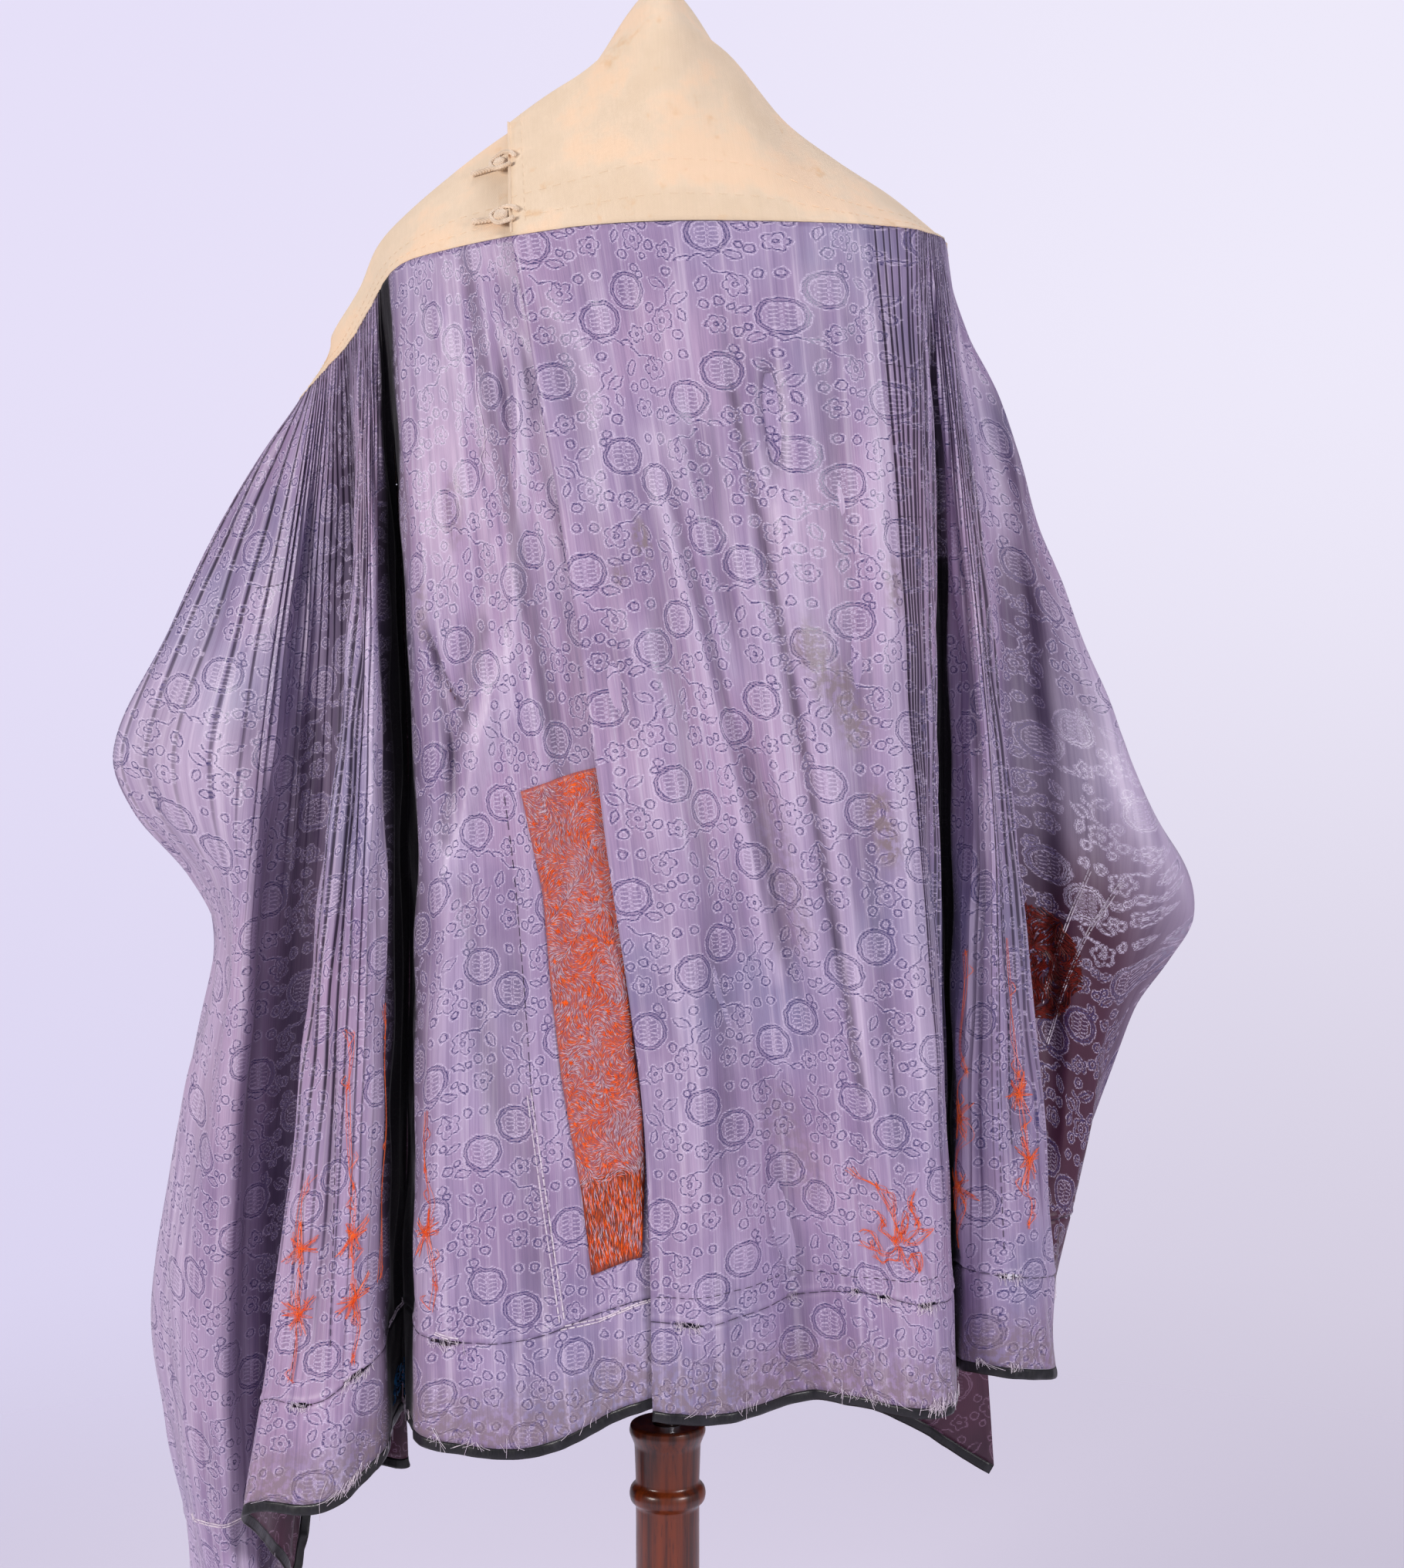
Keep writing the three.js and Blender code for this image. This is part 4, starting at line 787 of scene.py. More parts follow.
    # Painted sheen: a pale lilac-grey laid over the tone on ridges and broad lit patches
    painted_sheen_noise = add(tree, "MapRange", (streak, 0.3, 0.65, 0.45, 1.0), **SMOOTH)
    painted_sheen_mask = add(tree, "Math", (painted_sheen_share, painted_sheen_noise), operation="MULTIPLY")
    worn = add(tree, "Mix", {0: painted_sheen_mask, 6: worn, 7: linear("#CFBFD8")}, **BLEND)
    worn = add(tree, "Mix", {0: unfaded, 6: worn, 7: linear("#451531")}, **BLEND)
    # Painted shade in the folds and crease troughs
    worn = add(tree, "Mix", {0: fold, 6: worn, 7: linear("#22142E")}, **BLEND)
    # Painted highlight in a thin band beside the figure lines
    thin = add(tree, "MapRange", (grain, 0.34, 0.58, 0.0, 0.75), **SMOOTH)
    painted_glint = add(tree, "Math", (painted_halo, thin), operation="MULTIPLY")
    worn = add(tree, "Mix", {0: painted_glint, 6: worn, 7: linear("#D2C4DE")}, **BLEND)
    # Figure lines get painted highlights where the painted sheen is strong, and are kept lighter inside the
    # painted fold shade
    float_tone = add(tree, "MapRange", (painted_sheen_share, 0.55, 0.85, 0.0, 1.0), **SMOOTH)
    float_tone = add(tree, "Mix", {0: float_tone, 6: linear("#3E3468"), 7: linear("#DCD2E4")},
                     **BLEND)
    in_fold = add(tree, "MapRange", (fold, 0.35, 0.7), **SMOOTH)
    float_tone = add(tree, "Mix", {0: in_fold, 6: float_tone, 7: linear("#83769A")}, **BLEND)
    threads = add(tree, "MapRange", (grain, 0.34, 0.52, 0.12, 1.0), **SMOOTH)
    broken = add(tree, "Math", (figure, threads), operation="MULTIPLY")
    lilac = add(tree, "Mix", {0: broken, 6: worn, 7: float_tone}, **BLEND)
    spot_space = add(tree, "VectorMath", (weave, (1 / 5, 1 / 7, 1.0)), operation="MULTIPLY")
    spots = add(tree, "TexNoise", {0: spot_space, 2: 1.0, 3: 4.0, 4: 0.6})
    spots = add(tree, "MapRange", (spots, 0.4, 0.56, 0.1, 1.0), **SMOOTH)
    stain = add(tree, "Math", (stain, spots), operation="MULTIPLY")
    lilac = add(tree, "Mix", {0: stain, 6: lilac, 7: linear("#7C6A70")}, **BLEND)
    # The deepest painted fold shade goes nearly black
    deepest = add(tree, "MapRange", (fold, 0.72, 0.95), **SMOOTH)
    lilac = add(tree, "Mix", {0: deepest, 6: lilac, 7: linear("#0C0612")}, **BLEND)
    dyed = add(tree, "MapRange", (cloud, 0.3, 0.7), **SMOOTH)
    maroon = add(tree, "Mix", {0: dyed, 6: linear("#33182B"), 7: linear("#52283F")}, **BLEND)
    faint = add(tree, "Math", (figure, 0.6), operation="MULTIPLY")
    maroon = add(tree, "Mix", {0: faint, 6: maroon, 7: linear("#8E6C86")}, **BLEND)
    face_side = add(tree, "SeparateXYZ", (weave,)).node.outputs[2]
    tone = add(tree, "Mix", {0: face_side, 6: lilac, 7: maroon}, **BLEND)
    rough = add(tree, "MapRange", (figure, 0.0, 1.0, 0.46, 0.3))
    rough = add(tree, "Math", (fold, 0.45, rough), operation="MULTIPLY_ADD", use_clamp=True)
    finish_material(tree, {
        "Base Color": tone, "Roughness": rough, "IOR": 1.54,
        "Sheen Weight": 0.15, "Sheen Roughness": 0.35,
        "Normal": add(tree, "Bump", {"Strength": 0.5, "Distance": 0.0003, "Height": slub}),
    })
    return material


OUTER_CREASES = (
    # where it starts and ends (fold line, share), how far out in millimetres, half width
    ((3.05, 0.08), (2.72, 0.3), -6.0, 6),
    ((2.45, 0.1), (3.4, 0.8), -6.5, 5.5),
    ((2.1, 0.1), (2.9, 0.8), 4.5, 12),
    ((2.75, 0.12), (3.7, 0.85), 4.5, 9),
    ((2.96, 0.1), (2.97, 0.22), -5.0, 4),
    ((1.2, 0.15), (2.15, 0.66), 5.0, 7),
    ((1.5, 0.15), (2.35, 0.66), -4.5, 7),
    ((1.95, 0.05), (2.4, 0.75), -4.0, 8),
    ((1.6, 0.0), (2.1, 0.6), 3.5, 10),
    ((1.1, 0.1), (1.3, 0.9), -3.5, 12),
    ((0.7, 0.3), (0.9, 1.0), 3.5, 14),
    ((3.7, 0.0), (3.95, 0.5), -4.5, 7),
    ((3.95, 0.25), (4.1, 0.95), -4.0, 9),
    ((4.4, 0.1), (4.6, 0.9), 4.0, 12),
    ((0.3, 0.0), (0.45, 0.5), -3.5, 9),
    ((1.7, 0.75), (2.0, 1.0), -4.0, 8),
    ((8.2, 0.2), (8.5, 0.9), -3.5, 8),
    ((9.4, 0.2), (9.3, 0.9), -4.0, 8),
    ((10.2, 0.3), (10.1, 1.0), 3.0, 8),
    ((12.5, 0.1), (12.4, 0.9), -5.0, 9),
    ((13.4, 0.15), (13.3, 0.6), -6.0, 12),
    ((13.8, 0.4), (13.6, 0.95), 4.5, 12),
    ((14.3, 0.1), (14.5, 0.7), 5.0, 14),
)
UNDER_CREASES = (
    ((4.1, 0.05), (4.9, 0.42), 5.5, 7),
    ((4.7, 0.32), (6.2, 0.55), 5.5, 8),
    ((4.9, 0.25), (6.3, 0.5), -5.5, 7),
    ((6.2, 0.3), (5.4, 0.385), -5.0, 5),
    ((5.9, 0.45), (5.0, 0.8), -5.0, 9),
    ((4.35, 0.2), (4.45, 0.6), -5.0, 7),
    ((5.0, 0.5), (4.9, 1.0), -4.0, 9),
    ((6.0, 0.28), (5.7, 0.5), -6.0, 6),
    ((6.2, 0.5), (6.1, 0.98), 3.5, 9),
    ((4.4, 0.0), (4.55, 0.35), -4.0, 8),
    ((8.7, 0.2), (8.9, 0.95), -4.0, 7),
    ((9.6, 0.2), (9.4, 0.95), 3.5, 8),
    ((10.5, 0.3), (10.2, 0.95), -5.0, 9),
    ((11.2, 0.3), (11.0, 0.9), 3.5, 9),
    ((12.6, 0.2), (12.5, 0.9), -6.0, 10),
    ((13.1, 0.12), (13.2, 0.5), 5.0, 9),
    ((13.4, 0.2), (13.6, 0.95), -5.0, 12),
    ((13.8, 0.3), (13.9, 0.9), 4.5, 12),
    ((16.4, 0.1), (16.6, 0.9), -6.0, 14),
    ((18.3, 0.1), (18.5, 0.9), 5.0, 14),
    ((20.5, 0.02), (20.4, 0.7), -7.0, 12),
    ((21.1, 0.0), (20.9, 0.5), 5.0, 11),
    ((21.6, 0.05), (21.5, 0.9), 6.0, 16),
    ((22.1, 0.3), (21.9, 1.0), -5.0, 10),
    ((22.5, 0.02), (22.6, 0.8), -7.0, 14),
    ((23.0, 0.1), (23.1, 0.7), 4.5, 12),
    ((23.4, 0.1), (23.3, 0.98), -6.0, 12),
    ((24.5, 0.02), (24.6, 0.6), 5.0, 12),
)
# Where the lower seam runs: (fold line, share)
OUTER_SEAM = ((0, 0.921), (1, 0.921), (1.9, 0.914), (2.9, 0.903), (4.45, 0.909), (9, 0.916),
              (15, 0.915))
UNDER_SEAM = ((0, 0.912), (4, 0.911), (4.7, 0.907), (6.1, 0.912), (9.4, 0.905), (10.35, 0.913),
              (12, 0.9), (14, 0.89), (18, 0.9), (25, 0.91))
# Painted shade in the folds and grooves, and a painted shadow beside the outer length's free
# edge; painted sheen, unfaded maroon and stains: which, where it starts and ends (fold line,
# share), half width in millimetres, strength
OUTER_MARKS = (
    (PAINTED_FOLD_SHADE, (6.95, 0.3), (7.0, 1.0), 15, 0.95),
    (PAINTED_FOLD_SHADE, (6.95, 0.1), (6.95, 0.3), 8, 0.8),
    (PAINTED_FOLD_SHADE, (7.35, 0.75), (7.4, 1.0), 14, 0.9),
    (PAINTED_FOLD_SHADE, (11.1, 0.12), (11.0, 0.98), 34, 0.74),
    (PAINTED_FOLD_SHADE, (12.5, 0.3), (12.2, 0.56), 22, 0.6),
    (PAINTED_FOLD_SHADE, (12.9, 0.12), (13.15, 0.5), 14, 0.42),
    (PAINTED_FOLD_SHADE, (2.5, 0.14), (3.3, 0.72), 3.5, 0.6),
    (PAINTED_FOLD_SHADE, (2.96, 0.13), (2.97, 0.19), 3.5, 0.7),
    (PAINTED_FOLD_SHADE, (1.55, 0.22), (2.2, 0.6), 6, 0.3),
    (PAINTED_SHEEN, (1.29, 0.18), (2.05, 0.62), 8, 0.5),
    (PAINTED_SHEEN, (2.85, 0.2), (3.6, 0.72), 8, 0.4),
    (PAINTED_SHEEN, (4.7, 0.2), (4.9, 0.7), 16, 0.5),
    (PAINTED_SHEEN, (13.45, 0.46), (13.6, 0.575), 46, 0.85),
    (PAINTED_SHEEN, (14.3, 0.3), (14.35, 0.66), 34, 0.6),
    (PAINTED_SHEEN, (14.5, 0.66), (14.6, 0.95), 22, 0.5),
    (PAINTED_SHEEN, (11.9, 0.1), (12.3, 0.28), 14, 0.5),
    (PAINTED_SHEEN, (8.1, 0.6), (8.0, 0.9), 8, 0.6),
    (MAROON, (13.1, 0.66), (12.9, 1.0), 62, 1.0),
    (STAIN, (1.0, 0.253), (1.02, 0.258), 6, 0.9),
    (STAIN, (0.62, 0.28), (0.63, 0.284), 4, 0.7),
    (STAIN, (4.75, 0.294), (4.76, 0.302), 8, 0.6),
    (STAIN, (3.15, 0.35), (3.4, 0.37), 10, 0.8),
    (STAIN, (3.6, 0.385), (3.8, 0.41), 10, 0.8),
    (STAIN, (4.15, 0.485), (4.3, 0.512), 8, 0.9),
    (STAIN, (2.3, 0.5), (2.5, 0.58), 14, 0.35),
    (STAIN, (1.9, 0.76), (2.2, 0.79), 16, 0.35),
)
UNDER_MARKS = (
    (PAINTED_FOLD_SHADE, (8.0, 0.05), (8.0, 1.0), 62, 1.0),
    (PAINTED_FOLD_SHADE, (12.1, 0.08), (12.1, 0.99), 48, 0.76),
    (PAINTED_FOLD_SHADE, (12.9, 0.3), (12.95, 0.97), 22, 0.7),
    # Painted shadow cast by the outer length's free edge
    (PAINTED_FOLD_SHADE, (4.75, 0.0), (3.95, 0.9), 9, 0.45),
    (PAINTED_FOLD_SHADE, (5.05, 0.31), (6.1, 0.47), 7, 0.45),
    (PAINTED_FOLD_SHADE, (6.1, 0.31), (5.45, 0.375), 4, 0.7),
    (PAINTED_SHEEN, (14.6, 0.3), (14.9, 0.9), 46, 0.5),
    (PAINTED_SHEEN, (13.6, 0.3), (13.7, 0.95), 16, 0.6),
    (PAINTED_SHEEN, (4.1, 0.1), (4.83, 0.367), 7, 0.5),
    (PAINTED_SHEEN, (4.83, 0.367), (5.9, 0.5), 8, 0.5),
    (PAINTED_SHEEN, (9.1, 0.3), (9.3, 0.9), 9, 0.4),
    (STAIN, (5.3, 0.2), (5.35, 0.22), 9, 0.4),
    (STAIN, (6.2, 0.28), (6.3, 0.3), 7, 0.5),
)
outer_length = Length(OUTER_LENGTH, -1, OUTER_CREASES, OUTER_MARKS, OUTER_SEAM, 11)
under_length = Length(UNDER_LENGTH, 1, UNDER_CREASES, UNDER_MARKS, UNDER_SEAM, 23)
outer_length.lay_out()
under_length.lay_out()
silk = silk_damask()
ROWS = np.concatenate([np.linspace(0, 0.12, 26, endpoint=False),
                       np.linspace(0.12, 0.895, 110, endpoint=False),
                       np.linspace(0.895, 0.93, 21, endpoint=False), np.linspace(0.93, 1, 14)])
NARROW_PLEAT = 2.6
PANELS = (
    dict(node="front_right_panel", length=outer_length, first=0, spans=(1,) * 5,
         flat=(0.25, 0.84), area=0.21,
         tears=((0.6, 0.921, 20, 5, -2), (1.9, 0.914, 6, 4, 0), (2.9, 0.903, 6, 4, 0),
                (3.4, 0.905, 9, 4, 4), (4.45, 0.909, 22, 5, 2))),
    dict(node="right_pleated_gore", length=outer_length, first=5, spans=(7, 5, 3, 4, 4, 3),
         pleats=NARROW_PLEAT, fade=(0.55, 1), flat=(0.31, 0.83), area=0.257,
         tears=((9.0, 0.916, 16, 5, 3),)),
    dict(node="right_face_panel", length=outer_length, first=11, spans=(1,) * 4,
         flat=(0.24, 0.81), area=0.17, tears=()),
    dict(node="front_left_panel", length=under_length, first=0, spans=(1,) * 8,
         flat=(0.47, 0.84), area=0.37,
         tears=((6.1, 0.912, 22, 5, -4),)),
    dict(node="left_pleated_lobe", length=under_length, first=8, spans=(3, 4, 4, 4),
         pleats=NARROW_PLEAT, fade=(0.6, 1), flat=(0.31, 0.92), area=0.23,
         tears=((9.4, 0.905, 22, 6, 3), (10.35, 0.913, 13, 5, -3))),
    dict(node="left_pleated_gore", length=under_length, first=12, spans=(7, 7, 6, 3, 3, 2, 2, 2),
         pleats=NARROW_PLEAT, fade=(0.12, 0.5), flat=(0.51, 1.02), area=0.47,
         tears=()),
    dict(node="back_panel", length=under_length, first=20, spans=(1,) * 5,
         side_step=4.6, flat=(0.52, 0.85), area=0.39, tears=()),
)


def torn_cells(length, tears, places, shares):
    """Which cells of a panel's grid lie inside a tear."""
    mid_place = (places[:-1] + places[1:]) / 2
    mid_share = (shares[:-1] + shares[1:]) / 2
    u = length.across_mm(mid_place)[None, :]
    gone = np.zeros((len(mid_share), len(mid_place)), bool)
    for place, t, width, height, tilt in tears:
        x = (u - length.across_mm([place])[0]) / (width / 2)
        y = (mid_share[:, None] - t) * SEAM_SCALE / (height / 2)
        y = y + x * math.sin(math.radians(tilt)) * 4
        gone |= np.abs(x) + np.abs(y) ** 1.3 < 1
    return gone


for panel in PANELS:
    length = panel["length"]
    outer, inner, u, v, places, marks = panel_grid(
        length, panel["first"], panel["spans"], ROWS, panel.get("pleats"), panel.get("fade"),
        panel.get("side_step", 3.0))
    gone = torn_cells(length, panel["tears"], places, ROWS) if panel["tears"] else None
    cloth = shell(panel["node"] + "_silk", outer, inner, length.turn, silk, (u, v), gone, marks)
    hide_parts(panel["node"])
    panel["hem"] = (outer[-2:], inner[-2:], u[-1:])


# Hem binding: black silk satin ribbon folded over the raw lower edge of every panel and stitched
# through, a little puckered.
HEM_GAP, HEM_BINDING_HEIGHT = 0.3, 8.0


def black_satin():
    """Silk satin: nearly black, smooth floats along the hem with a narrow soft highlight."""
    material, tree = new_material("black_satin")
    weave = add(tree, "Attribute", out=1, attribute_name="weave_mm")
    rib_space = add(tree, "VectorMath", (weave, (1 / 1.2, 1 / 9, 1.0)), operation="MULTIPLY")
    rib = add(tree, "TexNoise", {0: rib_space, 2: 1.0, 3: 3.0})
    dust = add(tree, "TexNoise", {0: add(tree, "TexCoord", out=3), 2: 60.0, 3: 5.0})
    tone = add(tree, "Mix", {
        0: add(tree, "MapRange", (dust, 0.5, 0.8, 0.0, 0.5), **SMOOTH),
        6: linear("#0D0D12"), 7: linear("#2A2832"),
    }, **BLEND)
    finish_material(tree, {
        "Base Color": tone, "IOR": 1.54,
        "Roughness": add(tree, "MapRange", (rib, 0.3, 0.7, 0.3, 0.5), **SMOOTH),
        "Sheen Weight": 0.15, "Sheen Roughness": 0.3,
        "Normal": add(tree, "Bump", {"Strength": 0.5, "Distance": 0.0003, "Height": rib}),
    })
    return material


satin = black_satin()


def hem_binding(panel):
    """Ribbon that starts at the panel's edge and runs on square to it in the cloth's plane."""
    (above, edge), (_, back), u = panel["hem"]
    away = edge - above
    away /= np.linalg.norm(away, axis=1, keepdims=True)
    tangent = np.gradient(edge, axis=0)
    tangent /= np.linalg.norm(tangent, axis=1, keepdims=True)
    square = away - tangent * (away * tangent).sum(1, keepdims=True)
    square /= np.linalg.norm(square, axis=1, keepdims=True)
    out = edge - back
    out /= np.linalg.norm(out, axis=1, keepdims=True)
    drops = np.linspace(0, 1, 6)
    wave = 0.25 * np.sin(u[0] / 2.1) + 0.15 * np.sin(u[0] / 0.83)
    front, rear = [], []
    for f in drops:
        bulge = 0.35 * math.sin(math.pi * f) ** 0.5 + wave * math.sin(math.pi * f)
        place = edge + square * (HEM_GAP + f * (HEM_BINDING_HEIGHT - HEM_GAP))
        swell = out * np.broadcast_to(bulge, u[0].shape)[:, None]
        front.append(place + swell)
        rear.append(place - out * 1.0 - swell * 0.5)
    front, rear = np.array(front), np.array(rear)
    down = np.repeat(drops[:, None] * HEM_BINDING_HEIGHT, len(u[0]), 1)
    across_u = np.repeat(u, len(drops), 0)
    name = panel["node"] + "_hem_binding"
    ribbon = shell(name + "_satin", front, rear, panel["length"].turn, satin, (across_u, down))
    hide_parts(name)


for panel in PANELS:
    hem_binding(panel)


# Waistband: a doubled strip of cream cotton, stitched over the gathered tops of both lengths,
# wrapped round the shoulders with its ends overlapping at the front left.
# Ribs of the band: the fold line where each starts, and its places on the ridge and the edge
OUTER_RIBS = (
    ("free edge", (-111, -14, 1434), (-112, 41, 1411)),
    ("swell", (-66, -22, 1463), (-66, 12, 1452)),
    ("hollow", (-2, -46, 1498), (-3, -12, 1528)),
    ("crease", (40, -27, 1487), (40, 2, 1478)),
    ("right swell", (86, -24, 1432), (84, 38, 1410)),
    ("first pleat", (118, -20, 1408), (112, 60, 1384)),
    ("pleat corner", (156, -14, 1385), (136, 92, 1348)),
    ("lobe middle", (178, -8, 1367), (147, 104, 1332)),
    ("side groove", (196, 14, 1351), (144, 112, 1338)),
    ("valley", (192, 58, 1344), (134, 114, 1352)),
    ("front ridge", (178, 80, 1334), (120, 108, 1364)),
    ("outer ridge", (154, 100, 1318), (100, 101, 1372)),
)
UNDER_RIBS = (
    ("right hollow", (106, 114, 1302), (69, 95, 1375)),
    ("right swell", (66, 118, 1296), (42, 92, 1374)),
    ("hollow", (-6, 118, 1280), (-8, 92, 1362)),
    ("left swell", (-86, 116, 1260), (-62, 94, 1342)),
    ("under fold", (-148, 112, 1246), (-100, 98, 1322)),
    ("behind tail", (-194, 104, 1246), (-128, 100, 1312)),
    ("tail edge", (-206, 98, 1250), (-134, 101, 1310)),
    ("behind tip", (-216, 88, 1260), (-140, 102, 1308)),
    ("wing tip", (-226, 66, 1276), (-142, 104, 1306)),
    ("ridge", (-236, 38, 1290), (-138, 106, 1308)),
    ("slope", (-240, 14, 1284), (-132, 106, 1312)),
    ("side groove", (-235, 2, 1294), (-128, 102, 1320)),
    ("lobe middle", (-221, -3, 1318), (-126, 96, 1332)),
    ("groove", (-208, -6, 1346), (-126, 88, 1346)),
    ("face edge", (-186, -9, 1370), (-128, 76, 1364)),
    ("middle", (-151, -11, 1400), (-124, 60, 1386)),
    ("under free edge", (-110, -8, 1428), (-112, 36, 1404)),
    ("under swell", (-66, -17, 1457), (-66, 10, 1446)),
    ("under hollow", (-3, -46, 1480), (-4, -36, 1498)),
    ("under crease", (41, -24, 1478), (42, -2, 1470)),
    ("under right swell", (86, -20, 1426), (84, 33, 1405)),
)
BAND_RIBS = tuple(dict(length=length, line=line, ridge=ridge, edge=edge)
                  for length, ribs in ((OUTER_LENGTH, OUTER_RIBS), (UNDER_LENGTH, UNDER_RIBS))
                  for line, ridge, edge in ribs)
BAND_RIDGE_SHARE, RIDGE_ROUNDING, COTTON_THICKNESS, WAIST_GAP = 0.55, 0.1, 1.2, 0.8


class Band:
    """The waistband's surface: ribs from the waist seam over a ridge to the upper edge."""

    def __init__(self, rib_places):
        self.places = np.asarray(rib_places, float)
        count = len(BAND_RIBS)
        self.ridge, self.edge = (
            across(np.array([rib[key] for rib in BAND_RIBS], float)[:, None, :], self.places)[:, 0]
            for key in ("ridge", "edge"))
        self.seam = np.empty((len(self.places), 3))
        lengths = [rib["length"] for rib in BAND_RIBS]
        numbers = [line_number(rib["length"], rib["line"]) for rib in BAND_RIBS]
        for i, place in enumerate(self.places):
            rib = min(int(place), count - 2)
            f = place - rib
            if lengths[rib] is lengths[rib + 1]:
                at = numbers[rib] + (numbers[rib + 1] - numbers[rib]) * f
                self.seam[i] = cloth_points(lengths[rib], [at], [0.0])[0, 0]
            else:
                a = cloth_points(lengths[rib], [numbers[rib]], [0.0])[0, 0]
                b = cloth_points(lengths[rib + 1], [numbers[rib + 1]], [0.0])[0, 0]
                self.seam[i] = a + (b - a) * f

    def points(self, shares):
        """The band's surface at the given shares, as (rows, columns, 3)."""
        rows = []
        for t in shares:
            rounded_share = (t / BAND_RIDGE_SHARE / 2 if t <= BAND_RIDGE_SHARE
                             else 0.5 + (t - BAND_RIDGE_SHARE) / (1 - BAND_RIDGE_SHARE) / 2)
            low = self.seam + (self.ridge - self.seam) * min(1, rounded_share * 2)
            high = self.ridge + (self.edge - self.ridge) * max(0, rounded_share * 2 - 1)
            straight = low if rounded_share < 0.5 else high
            sag = max(0, 1 - abs(rounded_share - 0.5) / RIDGE_ROUNDING)
            beyond = self.ridge + (self.edge - self.ridge) * RIDGE_ROUNDING
            below = self.seam + (self.ridge - self.seam) * (1 - RIDGE_ROUNDING)
            rows.append(straight + ((below + beyond) / 2 - straight) * 0.5 * sag * sag)
        return np.array(rows)


def cream_cotton():
    """Plain-woven cotton, washed soft: matt cream with a visible thread grid and brown foxing.
    Threads are drawn 1.1 mm apart, coarser than the real 0.5 mm, so that they show."""
    material, tree = new_material("cream_cotton")
    weave = add(tree, "Attribute", out=1, attribute_name="weave_mm")
    u, v, _ = add(tree, "SeparateXYZ", (weave,)).node.outputs
    threads = []
    for along in (u, v):
        turns = add(tree, "Math", (along, 2 * math.pi / 1.1), operation="MULTIPLY")
        threads.append(add(tree, "Math", (turns,), operation="SINE"))
    grid = add(tree, "Math", threads, operation="MULTIPLY")
    slub_space = add(tree, "VectorMath", (weave, (1 / 1.4, 1 / 22, 1.0)), operation="MULTIPLY")
    slub = add(tree, "TexNoise", {0: slub_space, 2: 1.0, 3: 3.0})
    place = add(tree, "TexCoord", out=3)
    cloud = add(tree, "TexNoise", {0: place, 2: 14.0, 3: 5.0, 4: 0.6})
    spots = add(tree, "TexNoise", {0: place, 2: 42.0, 3: 3.0, 4: 0.6})
    tone = add(tree, "Mix", {
        0: add(tree, "MapRange", (cloud, 0.35, 0.65), **SMOOTH),
        6: linear("#EAD5BC"), 7: linear("#DFC8AC"),
    }, **BLEND)
    tone = add(tree, "Mix", {
        0: add(tree, "MapRange", (slub, 0.35, 0.7, 0.0, 0.14), **SMOOTH),
        6: tone, 7: linear("#CDB79B"),
    }, **BLEND)
    tone = add(tree, "Mix", {
        0: add(tree, "MapRange", (cloud, 0.55, 0.42, 0.0, 0.5), **SMOOTH),
        6: tone, 7: linear("#F0C8A2"),
    }, **BLEND)
    tone = add(tree, "Mix", {
        0: add(tree, "MapRange", (spots, 0.6, 0.74, 0.0, 0.45), **SMOOTH),
        6: tone, 7: linear("#D6A468"),
    }, **BLEND)
    relief = add(tree, "Math", (grid, 0.4, slub), operation="MULTIPLY_ADD")
    finish_material(tree, {
        "Base Color": tone, "Roughness": 0.82, "IOR": 1.5,
        "Sheen Weight": 0.2, "Sheen Roughness": 0.5,
        "Normal": add(tree, "Bump", {"Strength": 0.5, "Distance": 0.0004, "Height": relief}),
    })
    return material


cotton = cream_cotton()
BAND_STEPS = 10
band_places = np.linspace(0, len(BAND_RIBS) - 1, (len(BAND_RIBS) - 1) * BAND_STEPS + 1)
band_shares = np.concatenate([np.linspace(0, 0.5, 26, endpoint=False),
                              np.linspace(0.5, 0.62, 9, endpoint=False), np.linspace(0.62, 1, 16)])
band = Band(band_places)
flat_band = band.points(band_shares)
band_u = np.concatenate([[0], np.cumsum(np.linalg.norm(np.diff(flat_band[4], axis=0), axis=1))])
band_v = np.concatenate([np.zeros((1, len(band_places))),
                         np.cumsum(np.linalg.norm(np.diff(flat_band, axis=0), axis=2), 0)])
band_out = normals(flat_band, 1)
rng = np.random.default_rng(5)
pucker = np.zeros_like(band_u)
for wave_length, size in ((23, 0.5), (13, 0.45), (8.1, 0.35), (5.3, 0.2)):
    pucker += size * np.sin(2 * math.pi * band_u / wave_length + rng.uniform(0, 6.3))
gather = np.exp(-band_shares / 0.07)[:, None] * pucker[None, :] * 0.8
slack = sum(0.9 * np.sin(band_u[None, :] / a + band_shares[:, None] * b + c)
            for a, b, c in ((16, 9, 1), (31, -5, 2.4), (57, 3, 0.3)))
band_rise = gather + slack * smooth_step(band_shares, 0.02, 0.15)[:, None] * 0.7
band_outer = flat_band + band_out * band_rise[:, :, None]
band_outer[0, :, 2] = flat_band[0, :, 2] + WAIST_GAP
band_inner = band_outer - band_out * COTTON_THICKNESS
waistband = shell("waistband_cotton", band_outer, band_inner, 1, cotton,
                  (np.repeat(band_u[None, :], len(band_shares), 0), band_v))
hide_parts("waistband")


